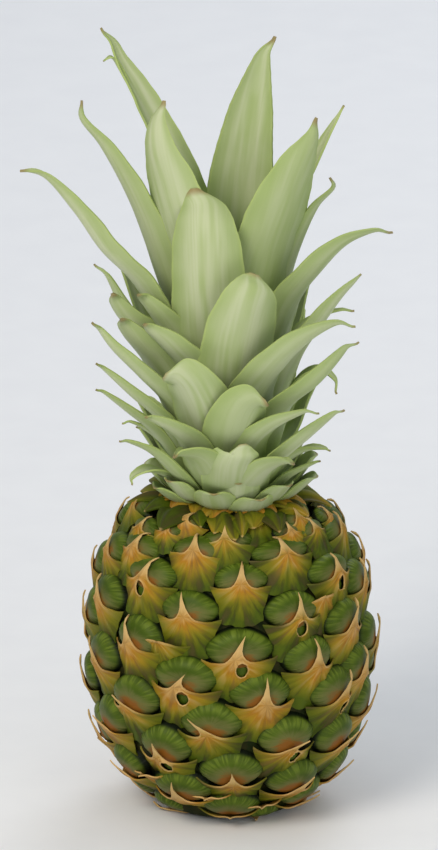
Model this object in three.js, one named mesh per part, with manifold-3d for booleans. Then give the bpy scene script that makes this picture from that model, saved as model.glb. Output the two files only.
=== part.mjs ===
// A ripe pineapple standing on its cut stem end. Millimetres, +Z up, front towards -Y.
// The fruit's eyes follow one golden-angle spiral, and the crown's leaves stand round a short stem.
import * as THREE from "three";
import { mergeVertices } from "three/addons/utils/BufferGeometryUtils.js";
import Module from "manifold-3d";

const wasm = await Module();
wasm.setup();

// Driving dimensions
const GAP = 0.3;

// Fruit: [height, radius] over the tops of the eyes, from the base's centre round to the crown's seat.
const FRUIT_PROFILE = [
  [0, 9], [0, 17], [0.3, 26], [3, 34], [12, 44.8], [26, 54.6], [44, 61.2], [64, 64.3], [86, 64.3],
  [106, 61], [122, 55], [134, 46.5], [141.3, 36], [140.8, 27], [138, 18], [137, 9],
];
const FRUIT_MIDDLE = 70;
const GOLDEN_ANGLE = 137.508;
const EYE_AREA = 656; // at the fruit's waist
const EYE_AREA_FALL = 0.37; // how much smaller the eyes get towards both ends
const END_EYE_AREA = 88; // under the fruit and inside the crown's seat
const SPIRAL_PHASE = 272.4; // azimuth of the spiral where it crosses the middle height
const SPIRAL_START = 0.74; // of an eye from there up to the next eye
// Eyes that stand a little off the spiral: [number from the middle height, across, up].
const SHIFTED_EYES = [
  [45, -2, -5], [44, 1, -6], [39, 4, 7], [37, -6, -7], [34, -4, 1], [31, 2, 4], [26, -8, -1], [24, 2, 3],
  [23, -4, 0], [21, 7, 5], [16, 4, 2], [13, 2, 2], [11, -5, -5], [10, 10, 8], [8, 1, 3], [5, 0, 1], [2, 6, 6],
  [0, -1, 2], [-3, -6, 0], [-5, 2, 6], [-8, -2, 1], [-13, -1, 0], [-11, -4, -2], [-16, -5, 0], [-18, -4, 2],
  [-21, -6, -4], [-26, -4, -5], [-31, 3, 0], [-32, 5, 8], [-37, 6, 8],
];
const SQUEEZED_EYES = [29, 18, -29, -34, -24]; // no room for a bract
const EYE_STEPS = [0, 0.29, 0.5, 0.71]; // mesh lines from one eye's middle to the next; a groove at a half
const EYE_RISE = 5.2; // from the grooves to the tops of the eyes
const BASE_FLAT_FADE = 9; // the relief dies out over this height above the base
// Bract of one eye: where its wings lie below the eye's middle, how high, how wide and how thick.
const WING_PLACE = -8.6;
const WING_HEIGHT = -2.2;
const WING_HALF_WIDTH = 7.2;
const WING_THICKNESS = 3.4;
const SPINE_TIP = 8.5;

// Cut stem under the fruit, and its hole.
const CUT_STEM_RADIUS = 14.5;
const CUT_STEM_HEIGHT = 8;

// Crown stem: [height, radius], seated in a round hole at the top of the fruit.
const SEAT_RADIUS = 20.5;
const SEAT_FLOOR = 133;
const CROWN_STEM_PROFILE = [
  [133.3, 0], [133.3, 17], [135, 20.2], [141, 20.2], [150, 20], [162, 18.5], [178, 15.5], [195, 11.5],
  [212, 7], [224, 3], [227, 0],
];
const COLLAR_LEAVES = 15;
const COLLAR_START = 141.2;
const COLLAR_RISE = 0.4; // height gained from one collar leaf to the next

// Crown leaves: the way that the outer face looks (azimuth from the front, positive to the right),
// height of the root on the stem, width, cup, form, and the middle line from root to tip. A point is
// [across, seen height, depth]: its height is seen along a line that falls 19 degrees to the back.
const SIGHT_FALL = Math.tan(THREE.MathUtils.degToRad(19));
const OVATE = [[0, 0.72], [0.3, 0.94], [0.5, 1], [0.7, 0.9], [0.85, 0.6], [0.95, 0.3], [1, 0.04]];
const LANCE = [[0, 0.9], [0.3, 1], [0.55, 0.86], [0.75, 0.6], [0.9, 0.28], [1, 0.04]];
const CROWN_LEAVES = [
  // Tall upper leaves.
  [10, 158, 33, 0.38, OVATE, [[2, 189, -32], [5, 214, -41], [10, 234, -45], [14, 245, -43]]],
  [-14, 178, 34, 0.42, OVATE, [[-9, 209, -26], [-11, 242, -30], [-12, 267, -28], [-12, 285, -18]]],
  [-35, 190, 38, 0.38, LANCE, [[-20, 256, -15], [-27.5, 284, -15], [-32.5, 307, -13], [-31, 326, -6]]],
  [30, 187, 34, 0.36, LANCE, [[15.5, 246, -15], [23, 271.5, -17], [31.5, 296, -17], [40.5, 317, -11]]],
  [174, 211, 32, 0.3, LANCE, [[3.5, 263, 6], [5.5, 292, 9], [10, 324, 11], [16.5, 356, 8]]],
  [-142, 204, 20, 0.42, LANCE, [[-11, 256, 9], [-22.5, 291, 13], [-40, 329.5, 16], [-48.5, 345, 15], [-53.5, 361, 11]]],
  [-60, 188, 28, 0.5, LANCE, [[-27, 234, -2], [-42, 276, -1], [-56, 303.5, 1], [-65.5, 317, 3], [-66, 327, 4]]],
  [-62, 173, 26, 0.6, LANCE, [[-39.5, 237, -10], [-56, 255.5, -11], [-68, 273.5, -10], [-83, 290.5, -6], [-94, 291.5, -4]]],
  [120, 200, 16, 0.5, LANCE, [[21, 262, 5], [37, 295, 6], [45.5, 313.5, 6], [50.5, 321.5, 4]]],
  [62, 184, 19, 0.5, LANCE, [[24, 237, -3], [30.5, 258, -3], [38.5, 276, -2], [46, 285.5, -1], [44, 291.5, 0]]],
  [44, 172, 25, 0.5, LANCE, [[25, 226.5, -14], [37, 244, -19], [51, 258.5, -19], [72, 267.5, -13]]],
  [50, 163, 21, 0.55, LANCE, [[29, 204.5, -18], [39, 220, -22], [49.5, 235, -22], [58.5, 245, -18]]],
  // Front.
  [-18, 153, 30, 0.4, OVATE, [[-10, 171, -36], [-15, 186, -45], [-20, 195, -49], [-28, 201, -48]]],
  [6, 148, 27, 0.42, OVATE, [[1, 164, -38], [3, 174, -47], [8, 184, -53], [16, 188, -54]]],
  [32, 160, 27, 0.5, LANCE, [[10, 186, -34], [20, 200.5, -43], [32, 212.5, -47], [43, 219.5, -47], [55, 224, -46]]],
  // Right side.
  [42, 154, 21, 0.5, LANCE, [[22.5, 180, -30], [37, 193, -36], [47.5, 205.5, -36], [54.5, 216, -34]]],
  [48, 147, 18, 0.5, LANCE, [[22, 157.5, -31], [34, 168.5, -36], [50, 183.5, -33]]],
  [78, 154, 15, 0.5, LANCE, [[31, 194, -7], [40, 199.5, -8], [50, 191.5, -8]]],
  [100, 163, 10, 0.5, LANCE, [[27, 214, 5], [40, 225, 6], [55, 229.5, 5]]],
  // Left side.
  [-44, 160, 24, 0.45, OVATE, [[-18, 198, -28], [-27, 210, -33], [-40, 222, -33]]],
  [-54, 170, 18, 0.5, LANCE, [[-27, 216, -18], [-34, 227, -21], [-42, 237, -21]]],
  [-50, 167, 20, 0.5, LANCE, [[-34, 212, -9], [-46, 223.5, -11], [-54, 237, -11]]],
  [-70, 164, 23, 0.5, LANCE, [[-35.5, 209, 3], [-46.5, 226, 4], [-52.5, 240, 4], [-57.5, 250.5, 3]]],
  [-46, 160, 24, 0.45, LANCE, [[-32, 201, -21], [-43, 214.5, -25], [-50, 225.5, -26]]],
  [-48, 153, 20, 0.5, LANCE, [[-26, 182.5, -27], [-38.5, 196.5, -33], [-52, 211, -34], [-60.5, 224.5, -32]]],
  [-54, 149, 18, 0.5, LANCE, [[-30, 175.5, -23], [-43.5, 188.5, -28], [-60, 205, -28]]],
  [-66, 147, 18, 0.5, LANCE, [[-32.5, 169.5, -13], [-46, 181.5, -16], [-59.5, 193, -15]]],
];

// Short leaves above the collar, grown together with the stem.
const SHORT_LEAVES = [
  [22, 146, 19, 0.45, LANCE, [[9, 163, -37], [18, 173, -46], [38, 183, -52]]],
  [-38, 150, 21, 0.45, OVATE, [[-17, 163, -34], [-25, 171, -41], [-39, 179, -44]]],
  [3, 143, 26, 0.42, OVATE, [[1, 147, -37], [2, 155, -46], [4, 161, -49], [3, 165, -46]]],
  [-26, 145, 21, 0.42, OVATE, [[-11, 152, -37], [-16, 159, -45], [-26, 161, -47]]],
  [30, 143, 16, 0.45, OVATE, [[11, 148, -36], [19, 155, -43], [28, 158, -45]]],
  [50, 145, 15, 0.45, LANCE, [[26, 158, -16], [35, 163, -19], [45, 163.5, -19]]],
  [-54, 143, 17, 0.45, LANCE, [[-25, 152, -25], [-36, 162.5, -30], [-49, 168.5, -29]]],
  [-50, 143, 14, 0.4, LANCE, [[-27, 150, -14], [-36, 153, -18], [-42, 151, -20], [-45, 147.5, -20]]],
  [-60, 146, 12, 0.4, LANCE, [[-29, 165, -8], [-39, 173.5, -10], [-47.5, 177.5, -9]]],
  [50, 142, 12, 0.4, LANCE, [[26, 150, -16], [33, 154.5, -18], [40.5, 158.5, -18]]],
];

// Leaves on the back: azimuth, height of the root, width, reach from the axis, height of the tip.
const BACK_LEAVES = [
  [158, 190, 19, 60, 268], [213, 184, 20, 60, 278], [128, 176, 16, 46, 238], [185, 172, 20, 74, 258],
  [240, 170, 14, 60, 250], [110, 158, 12, 44, 196], [152, 156, 16, 72, 212], [202, 155, 17, 76, 216],
  [256, 152, 12, 46, 190],
];
const SHORT_BACK_LEAVES = [
  [114, 146, 14, 40, 170], [140, 146, 15, 54, 176], [180, 145, 17, 66, 176], [222, 146, 16, 56, 176],
  [258, 147, 14, 42, 172],
];

const LEAF_THICKNESS = 2;
const LEAF_EDGE = 0.7;
const BROAD_STATIONS = [0, 0.24, 0.47, 0.68, 0.86, 1];
const SLIM_STATIONS = [0, 0.3, 0.55, 0.8, 1];
const COLLAR_STATIONS = [0, 0.4, 0.72, 1];
const ROOT_CUP = 0.22; // the blades lie in layers round the stem before they open
const BROAD_LEAF = 28; // from this width on, a blade has five points across

// Small helpers
function seededRandom(seed) {
  let state = seed;
  return () => {
    state = (state * 1664525 + 1013904223) % 4294967296;
    return state / 4294967296;
  };
}

function interpolate(table, at) {
  if (at <= table[0][0]) return table[0][1];
  for (let i = 1; i < table.length; i += 1) {
    if (at <= table[i][0]) {
      const share = (at - table[i - 1][0]) / (table[i][0] - table[i - 1][0]);
      return table[i - 1][1] + share * (table[i][1] - table[i - 1][1]);
    }
  }
  return table[table.length - 1][1];
}

function azimuthDirection(degrees) {
  const angle = THREE.MathUtils.degToRad(degrees);
  return new THREE.Vector3(Math.sin(angle), -Math.cos(angle), 0);
}

function indexedGeometry(points, faces) {
  const geometry = new THREE.BufferGeometry();
  const flat = points.flatMap((p) => [p.x, p.y, p.z]);
  geometry.setAttribute("position", new THREE.Float32BufferAttribute(flat, 3));
  geometry.setIndex(faces.flat());
  return geometry;
}

function solidOf(geometry) {
  const bare = geometry.clone();
  bare.deleteAttribute("normal");
  bare.deleteAttribute("uv");
  const merged = mergeVertices(bare, 1e-4);
  const mesh = new wasm.Mesh({
    numProp: 3,
    vertProperties: new Float32Array(merged.attributes.position.array),
    triVerts: new Uint32Array(merged.index.array),
  });
  return new wasm.Manifold(mesh);
}

function geometryOf(solid) {
  const mesh = solid.getMesh();
  const geometry = new THREE.BufferGeometry();
  const positions = new Float32Array(mesh.vertProperties);
  geometry.setAttribute("position", new THREE.BufferAttribute(positions, 3));
  geometry.setIndex(new THREE.BufferAttribute(new Uint32Array(mesh.triVerts), 1));
  return geometry;
}

function joined(solids) {
  let level = solids;
  while (level.length > 1) {
    const next = [];
    for (let i = 0; i < level.length; i += 2) {
      next.push(i + 1 < level.length ? level[i].add(level[i + 1]) : level[i]);
    }
    level = next;
  }
  return level[0];
}

function largestPiece(solid) {
  const pieces = solid.decompose();
  return pieces.reduce((best, piece) => (piece.volume() > best.volume() ? piece : best));
}

function boundsMeet(first, second) {
  const a = first.boundingBox();
  const b = second.boundingBox();
  return [0, 1, 2].every((axis) => a.min[axis] < b.max[axis] && b.min[axis] < a.max[axis]);
}

function turnedSolid(profile, segments) {
  const outline = profile.map(([height, radius]) => new THREE.Vector2(radius, height));
  const geometry = new THREE.LatheGeometry(outline, segments);
  geometry.rotateX(Math.PI / 2);
  return solidOf(geometry);
}

// Fruit surface
// Samples of the profile by arc length, with the number of eyes laid from the middle height to each.
function fruitSamples() {
  const outline = FRUIT_PROFILE.map(([height, radius]) => new THREE.Vector3(radius, height, 0));
  const curve = new THREE.CatmullRomCurve3(outline, false, "centripetal");
  const samples = [];
  let rimIndex = 0;
  let topIndex = 0;
  const steps = 900;
  for (let i = 0; i <= steps; i += 1) {
    const point = curve.getPoint(i / steps);
    const last = samples[samples.length - 1];
    const arc = last ? last.arc + Math.hypot(point.x - last.radius, point.y - last.height) : 0;
    samples.push({ radius: point.x, height: Math.max(0, point.y), arc, eyes: 0 });
    if (point.x < 25.5 && point.y < 2) rimIndex = i;
    if (point.x > 26 && point.y > 100) topIndex = i;
  }
  let eyes = 0;
  samples.forEach((sample, i) => {
    const away = (sample.height - FRUIT_MIDDLE) / FRUIT_MIDDLE;
    const inside = i < rimIndex || i > topIndex;
    sample.area = inside ? END_EYE_AREA : EYE_AREA * (1 - EYE_AREA_FALL * away * away);
    if (i > 0) {
      const previous = samples[i - 1];
      const ring = Math.PI * (sample.radius + previous.radius) * (sample.arc - previous.arc);
      eyes += ring / sample.area;
    }
    sample.eyes = eyes;
  });
  const atMiddle = samples.find((sample) => sample.height >= FRUIT_MIDDLE).eyes;
  samples.forEach((sample) => {
    sample.eyes -= atMiddle;
  });
  return samples;
}

const SAMPLES = fruitSamples();

// The profile's sample at a number of eyes, or at an arc length.
function sampleAt(value, by = "eyes") {
  let low = 0;
  let high = SAMPLES.length - 1;
  while (high - low > 1) {
    const middle = (low + high) >> 1;
    if (SAMPLES[middle][by] > value) high = middle;
    else low = middle;
  }
  const a = SAMPLES[low];
  const b = SAMPLES[high];
  const share = THREE.MathUtils.clamp((value - a[by]) / (b[by] - a[by]), 0, 1);
  const mix = (key) => a[key] + share * (b[key] - a[key]);
  return {
    radius: mix("radius"), height: mix("height"), arc: mix("arc"), area: mix("area"),
    slope: Math.atan2(b.height - a.height, b.radius - a.radius),
  };
}

const SHIFTS = new Map(SHIFTED_EYES.map(([number, across, up]) => [number, [across, up]]));

function spiralAzimuth(eyes) {
  return SPIRAL_PHASE + eyes * GOLDEN_ANGLE;
}

// How far the surface between four eyes is pushed along: [across, up], mixed from the four.
function eyeShift(number, right, left) {
  const of = (eye) => SHIFTS.get(eye) || [0, 0];
  const corners = [
    [of(number), (1 - right) * (1 - left)], [of(number + 8), right * (1 - left)],
    [of(number + 13), (1 - right) * left], [of(number + 21), right * left],
  ];
  return [0, 1].map((axis) => corners.reduce((sum, [shift, share]) => sum + shift[axis] * share, 0));
}

// A place on the fruit: its sample, its azimuth and how far it stands out from the profile.
function fruitPoint(sample, azimuth, out) {
  const radius = sample.radius + out * Math.sin(sample.slope);
  const height = sample.height - out * Math.cos(sample.slope);
  const direction = azimuthDirection(azimuth).multiplyScalar(Math.max(radius, 0.5));
  return direction.setZ(Math.max(height, 0));
}

function shiftedPlace(sample, azimuth, [across, up]) {
  return {
    sample: up === 0 ? sample : sampleAt(sample.arc + up, "arc"),
    azimuth: azimuth + THREE.MathUtils.radToDeg(across / sample.radius),
  };
}

function eyeSize(sample) {
  return Math.sqrt(sample.area / EYE_AREA);
}

// Each eye is a low dome with a groove round it: how far the surface lies under the eyes' tops.
function eyeRelief(right, left, sample) {
  const fromMiddle = (step) => 2 * Math.min(step, 1 - step);
  const edge = Math.cbrt(fromMiddle(right) ** 3 + fromMiddle(left) ** 3);
  const fade = THREE.MathUtils.smoothstep(sample.height, 0.5, BASE_FLAT_FADE)
    * THREE.MathUtils.smoothstep(sample.area, END_EYE_AREA, END_EYE_AREA * 2);
  return -EYE_RISE * eyeSize(sample) * fade * Math.min(1, edge ** 2.4);
}

// The skin is a net whose meshes run along the fruit's two visible families of spirals.
function fruitSkin() {
  const first = SAMPLES[0].eyes;
  const last = SAMPLES[SAMPLES.length - 1].eyes;
  const count = Math.floor(last - first - SPIRAL_START);
  const start = Math.ceil(first - SPIRAL_START) + SPIRAL_START;
  const turnRight = 8 * GOLDEN_ANGLE - 1080;
  const turnLeft = 13 * GOLDEN_ANGLE - 1800;
  const points = [];
  const index = new Map();
  const vertex = (i, p, q) => {
    let [eye, right, left] = [i, p, q];
    if (right === EYE_STEPS.length) [eye, right] = [eye + 8, 0];
    if (left === EYE_STEPS.length) [eye, left] = [eye + 13, 0];
    const key = `${eye}/${right}/${left}`;
    if (!index.has(key)) {
      const [a, b] = [EYE_STEPS[right], EYE_STEPS[left]];
      const sample = sampleAt(start + eye + 8 * a + 13 * b);
      const azimuth = spiralAzimuth(start + eye) + turnRight * a + turnLeft * b;
      const shift = eyeShift(Math.round(start + eye - SPIRAL_START), a, b);
      const place = shiftedPlace(sample, azimuth, shift);
      index.set(key, points.push(fruitPoint(place.sample, place.azimuth, eyeRelief(a, b, sample))) - 1);
    }
    return index.get(key);
  };
  const faces = [];
  for (let i = 0; i + 21 < count; i += 1) {
    for (let p = 0; p < EYE_STEPS.length; p += 1) {
      for (let q = 0; q < EYE_STEPS.length; q += 1) {
        const corners = [vertex(i, p, q), vertex(i, p + 1, q), vertex(i, p + 1, q + 1), vertex(i, p, q + 1)];
        faces.push([corners[0], corners[1], corners[2]], [corners[0], corners[2], corners[3]]);
      }
    }
  }
  closeEnds(points, faces);
  return { solid: solidOf(indexedGeometry(points, faces)), start, count };
}

// Closes the net's two open rims, each with a fan round a point on the axis.
function closeEnds(points, faces) {
  const edges = new Map();
  faces.forEach(([a, b, c]) => [[a, b], [b, c], [c, a]].forEach(([from, to]) => {
    const back = `${to}/${from}`;
    if (edges.has(back)) edges.delete(back);
    else edges.set(`${from}/${to}`, [from, to]);
  }));
  const low = points.push(new THREE.Vector3(0, 0, 0)) - 1;
  const high = points.push(new THREE.Vector3(0, 0, SEAT_FLOOR + 4)) - 1;
  edges.forEach(([from, to]) => {
    const centre = points[from].z < FRUIT_MIDDLE ? low : high;
    faces.push([to, from, centre]);
  });
}

// The bract under one eye: two wings in the groove that run together into a spine off the dome.
function bract(eye, random) {
  const shift = eyeShift(Math.round(eye - SPIRAL_START), 0, 0);
  const { sample: centre, azimuth } = shiftedPlace(sampleAt(eye), spiralAzimuth(eye), shift);
  const size = eyeSize(centre);
  const lean = (random() - 0.5) * 5;
  const lift = 2.4 + random() * 2.6;
  const out = azimuthDirection(azimuth)
    .multiplyScalar(Math.sin(centre.slope)).setZ(-Math.cos(centre.slope));
  const up = azimuthDirection(azimuth)
    .multiplyScalar(Math.cos(centre.slope)).setZ(Math.sin(centre.slope));
  const side = new THREE.Vector3().crossVectors(up, out);
  const origin = fruitPoint(centre, azimuth, 0);
  const spot = (u, v, h) => origin.clone()
    .addScaledVector(side, u * size).addScaledVector(up, v * size).addScaledVector(out, h * size);
  const points = [
    spot(WING_HALF_WIDTH, WING_PLACE, WING_HEIGHT), spot(-WING_HALF_WIDTH, WING_PLACE, WING_HEIGHT),
    spot(0, WING_PLACE, WING_HEIGHT - WING_THICKNESS), spot(lean, SPINE_TIP, lift),
  ];
  return solidOf(indexedGeometry(points, [[0, 1, 2], [0, 3, 1], [1, 3, 2], [2, 3, 0]]));
}

function fruitSolid() {
  const random = seededRandom(20);
  const skin = fruitSkin();
  const bracts = [];
  for (let i = 0; i < skin.count; i += 1) {
    const eye = skin.start + i;
    const centre = sampleAt(eye);
    const squeezed = SQUEEZED_EYES.includes(Math.round(eye - SPIRAL_START));
    const shown = centre.height > 4 && centre.area > END_EYE_AREA * 1.5 && !squeezed;
    if (shown) bracts.push(bract(eye, random));
  }
  const below = solidOf(new THREE.BoxGeometry(200, 200, 40).translate(0, 0, -20));
  const hole = turnedSolid([
    [-1, 0], [-1, CUT_STEM_RADIUS + GAP], [CUT_STEM_HEIGHT + GAP, CUT_STEM_RADIUS + GAP],
    [CUT_STEM_HEIGHT + GAP, 0],
  ], 32);
  const seat = turnedSolid([
    [SEAT_FLOOR, 0], [SEAT_FLOOR, SEAT_RADIUS], [170, SEAT_RADIUS], [170, 0],
  ], 32);
  return joined([skin.solid, ...bracts]).subtract(below).subtract(hole).subtract(seat);
}

// Crown
// A leaf blade along a middle line: cupped, thick in the middle and thin at the edges, with its
// outer face away from the crown's axis. Growing it by a clearance gives the space that it needs.
function blade({ line, azimuth, width, cup, form, stations }, clearance = 0) {
  const curve = new THREE.CatmullRomCurve3(line, false, "centripetal");
  const across = width >= BROAD_LEAF ? [-1, -0.5, 0, 0.5, 1] : [-1, 0, 1];
  const sideways = azimuthDirection(azimuth + 90);
  const points = [];
  stations.forEach((at) => {
    const centre = curve.getPointAt(at);
    const tangent = curve.getTangentAt(at);
    const side = sideways.clone().addScaledVector(tangent, -sideways.dot(tangent)).normalize();
    const outward = new THREE.Vector3().crossVectors(side, tangent).normalize();
    const halfWidth = Math.max(0.55, width / 2 * interpolate(form, at)) + clearance;
    const reach = (at === 0 ? -1 : 0) + (at === 1 ? 1 : 0);
    const opened = ROOT_CUP + (cup - ROOT_CUP) * THREE.MathUtils.smoothstep(at, 0.15, 0.7);
    centre.addScaledVector(tangent, reach * clearance);
    [1, -1].forEach((face) => across.forEach((u) => {
      const slim = 1 - 0.55 * at;
      const half = (LEAF_EDGE + (LEAF_THICKNESS - LEAF_EDGE) * (1 - u * u) * slim) / 2 + clearance;
      points.push(centre.clone()
        .addScaledVector(side, u * halfWidth)
        .addScaledVector(outward, face * half - opened * halfWidth * u * u));
    }));
  });
  return solidOf(indexedGeometry(points, bladeFaces(stations.length, across.length)));
}

function bladeFaces(stations, across) {
  const ring = 2 * across;
  const faces = [];
  const quad = (a, b, c, d, flip) => (flip
    ? faces.push([a, b, d], [b, c, d])
    : faces.push([a, b, c], [a, c, d]));
  for (let s = 0; s + 1 < stations; s += 1) {
    const outer = s * ring;
    const inner = outer + across;
    for (let i = 0; i + 1 < across; i += 1) {
      quad(outer + i, outer + i + 1, outer + i + 1 + ring, outer + i + ring, false);
      quad(inner + i + 1, inner + i, inner + i + ring, inner + i + 1 + ring, true);
    }
    quad(inner, outer, outer + ring, inner + ring, false);
    quad(outer + across - 1, inner + across - 1, inner + across - 1 + ring, outer + across - 1 + ring, false);
  }
  for (let i = 0; i + 1 < across; i += 1) {
    faces.push([i, across + i, across + i + 1], [i, across + i + 1, i + 1]);
    const end = (stations - 1) * ring;
    faces.push([end + i, end + across + i + 1, end + across + i], [end + i, end + i + 1, end + across + i + 1]);
  }
  return faces;
}

function stemRadius(height) {
  return interpolate(CROWN_STEM_PROFILE.slice(2), height);
}

function rootPoint(azimuth, height) {
  return azimuthDirection(azimuth).multiplyScalar(stemRadius(height) - 2.5).setZ(height);
}

// The small leaves of the collar, grown together with the crown's stem.
function collarSolids(clearance) {
  const random = seededRandom(7);
  const solids = [];
  for (let i = 0; i < COLLAR_LEAVES; i += 1) {
    const azimuth = 20 + i * GOLDEN_ANGLE;
    const height = COLLAR_START + i * COLLAR_RISE;
    const reach = 36 + random() * 4;
    const rise = 8.5 + i * 0.4 + random() * 3;
    const out = azimuthDirection(azimuth);
    const line = [
      out.clone().multiplyScalar(15).setZ(height),
      out.clone().multiplyScalar(27).setZ(height + 1.4),
      out.clone().multiplyScalar(reach).setZ(height + rise),
    ];
    const width = 15 + random() * 3;
    solids.push(blade({ line, azimuth, width, cup: 0.35, form: OVATE, stations: COLLAR_STATIONS }, clearance));
  }
  return solids;
}

function crownStemSolid(clearance) {
  const grown = CROWN_STEM_PROFILE.map(([height, radius], i) => [
    height + (i === 0 || i === 1 ? -clearance : 0) + (i === CROWN_STEM_PROFILE.length - 1 ? clearance : 0),
    radius > 0 ? radius + clearance : 0,
  ]);
  const short = [...seenLeafPlans(SHORT_LEAVES), ...backLeafPlans(SHORT_BACK_LEAVES)];
  return largestPiece(joined([
    turnedSolid(grown, 20), ...collarSolids(clearance), ...short.map((plan) => blade(plan, clearance)),
  ]));
}

function seenLeafPlans(rows) {
  return rows.map(([azimuth, root, width, cup, form, seen]) => ({
    azimuth, width, cup, form,
    stations: width >= BROAD_LEAF ? BROAD_STATIONS : SLIM_STATIONS,
    line: [rootPoint(azimuth, root)].concat(
      seen.map(([across, up, depth]) => new THREE.Vector3(across, depth, up - depth * SIGHT_FALL)),
    ),
  }));
}

function backLeafPlans(rows) {
  return rows.map(([azimuth, root, width, reach, tip]) => {
    const out = azimuthDirection(azimuth);
    const start = rootPoint(azimuth, root);
    const at = (share, rise) => out.clone()
      .multiplyScalar(stemRadius(root) + share * (reach - stemRadius(root)))
      .setZ(root + rise * (tip - root));
    return {
      azimuth, width, cup: 0.45, form: LANCE, stations: tip < 190 ? COLLAR_STATIONS : SLIM_STATIONS,
      line: [start, at(0.45, 0.28), at(0.72, 0.66), at(1, 1)],
    };
  });
}

// Each leaf gives way to the crown's stem and to the leaves before it, with a gap all round.
function leafSolids(stemSpace) {
  const spaces = [stemSpace];
  return [...seenLeafPlans(CROWN_LEAVES), ...backLeafPlans(BACK_LEAVES)].map((plan) => {
    let leaf = blade(plan);
    spaces.forEach((space) => {
      if (boundsMeet(leaf, space)) leaf = leaf.subtract(space);
    });
    spaces.push(blade(plan, GAP + 0.05));
    return largestPiece(leaf);
  });
}

// Materials
function material(name, color, roughness) {
  return Object.assign(new THREE.MeshStandardMaterial({ color, roughness, metalness: 0 }), { name });
}

const FRUIT_SKIN = material("fruit_skin", 0x7d8a3a, 0.5);
const CUT_FIBRE = material("cut_fibre", 0xb89b6a, 0.85);
const YOUNG_LEAF = material("young_leaf", 0x8fa35c, 0.55);
const LEAF_GREEN = material("leaf_green", 0x9bb083, 0.5);

function named(solid, name, surface) {
  const mesh = new THREE.Mesh(geometryOf(solid), surface);
  mesh.name = name;
  return mesh;
}

// Assembly
function buildPineapple() {
  const group = new THREE.Group();
  group.name = "pineapple";
  const stemSpace = crownStemSolid(GAP + 0.05);
  const leaves = leafSolids(stemSpace);
  let fruit = fruitSolid().subtract(stemSpace);
  leaves.forEach((leaf) => {
    if (boundsMeet(leaf, fruit)) fruit = fruit.subtract(leaf);
  });
  const stub = turnedSolid([
    [0, 0], [0, CUT_STEM_RADIUS - 1], [1, CUT_STEM_RADIUS], [CUT_STEM_HEIGHT, CUT_STEM_RADIUS],
    [CUT_STEM_HEIGHT, 0],
  ], 32);
  group.add(named(largestPiece(fruit), "fruit", FRUIT_SKIN));
  group.add(named(stub, "cut_stem", CUT_FIBRE));
  group.add(named(crownStemSolid(0), "crown_stem", YOUNG_LEAF));
  leaves.forEach((leaf, i) => {
    group.add(named(leaf, `crown_leaf_${String(i + 1).padStart(2, "0")}`, LEAF_GREEN));
  });
  return group;
}

const pineapple = buildPineapple();

export default pineapple;
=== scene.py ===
"""A ripe pineapple standing on its cut stem end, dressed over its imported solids.

Metres, +Z up, front towards -Y. Sizes in the tables are millimetres, as in the part's own source.
"""

from __future__ import annotations

import logging
import math
import random
from collections.abc import Sequence
from dataclasses import dataclass, field
from enum import Enum
import bmesh
import bpy
import numpy as np
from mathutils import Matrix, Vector


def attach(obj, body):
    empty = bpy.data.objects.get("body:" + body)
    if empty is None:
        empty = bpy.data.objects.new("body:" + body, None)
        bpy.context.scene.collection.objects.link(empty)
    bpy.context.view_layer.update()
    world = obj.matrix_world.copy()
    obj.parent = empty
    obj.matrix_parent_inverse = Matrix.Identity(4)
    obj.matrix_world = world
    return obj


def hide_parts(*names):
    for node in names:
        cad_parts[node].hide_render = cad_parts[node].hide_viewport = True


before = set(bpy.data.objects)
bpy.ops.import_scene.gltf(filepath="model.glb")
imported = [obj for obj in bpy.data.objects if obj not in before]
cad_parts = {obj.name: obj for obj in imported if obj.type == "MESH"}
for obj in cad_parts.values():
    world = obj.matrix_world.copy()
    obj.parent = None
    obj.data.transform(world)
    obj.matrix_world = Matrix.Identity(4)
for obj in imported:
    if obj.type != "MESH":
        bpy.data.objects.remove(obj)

LOG = logging.getLogger("pineapple")
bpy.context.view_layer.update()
MM = 0.001
BODY = "root"
# How far above the level the photo was taken from, in degrees.
ELEVATION = 19.0
SIGHT_FALL = math.tan(math.radians(ELEVATION))
GOLDEN_ANGLE = 137.508
# Millimetres: the width of a plain eye's dome and the thickness of a bract.
EYE_WIDTH = 28.4
BRACT_THICKNESS = 0.6

Row = tuple[float, ...]
Array = np.ndarray


# Small helpers
def linear(colour: str) -> tuple[float, float, float, float]:
    """Turns an sRGB hex colour, #rrggbb, into Blender's linear red, green, blue and alpha."""
    parts = [int(colour[i : i + 2], 16) / 255 for i in (1, 3, 5)]
    red, green, blue = (p / 12.92 if p <= 0.04045 else ((p + 0.055) / 1.055) ** 2.4 for p in parts)
    return (red, green, blue, 1.0)


def smoothstep(low: float, high: float, at: Array | float) -> Array | float:
    """Eases from 0 at low to 1 at high."""
    share = np.clip((np.asarray(at, float) - low) / (high - low), 0, 1)
    return share * share * (3 - 2 * share)


def azimuth_direction(degrees: Array | float) -> Array:
    """The level direction at an azimuth, measured from the front towards the right."""
    angle = np.radians(degrees)
    return np.stack([np.sin(angle), -np.cos(angle), np.zeros_like(angle)], axis=-1)


def unit(vectors: Array) -> Array:
    """The same vectors with a length of one."""
    return vectors / np.maximum(np.linalg.norm(vectors, axis=-1, keepdims=True), 1e-9)


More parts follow.
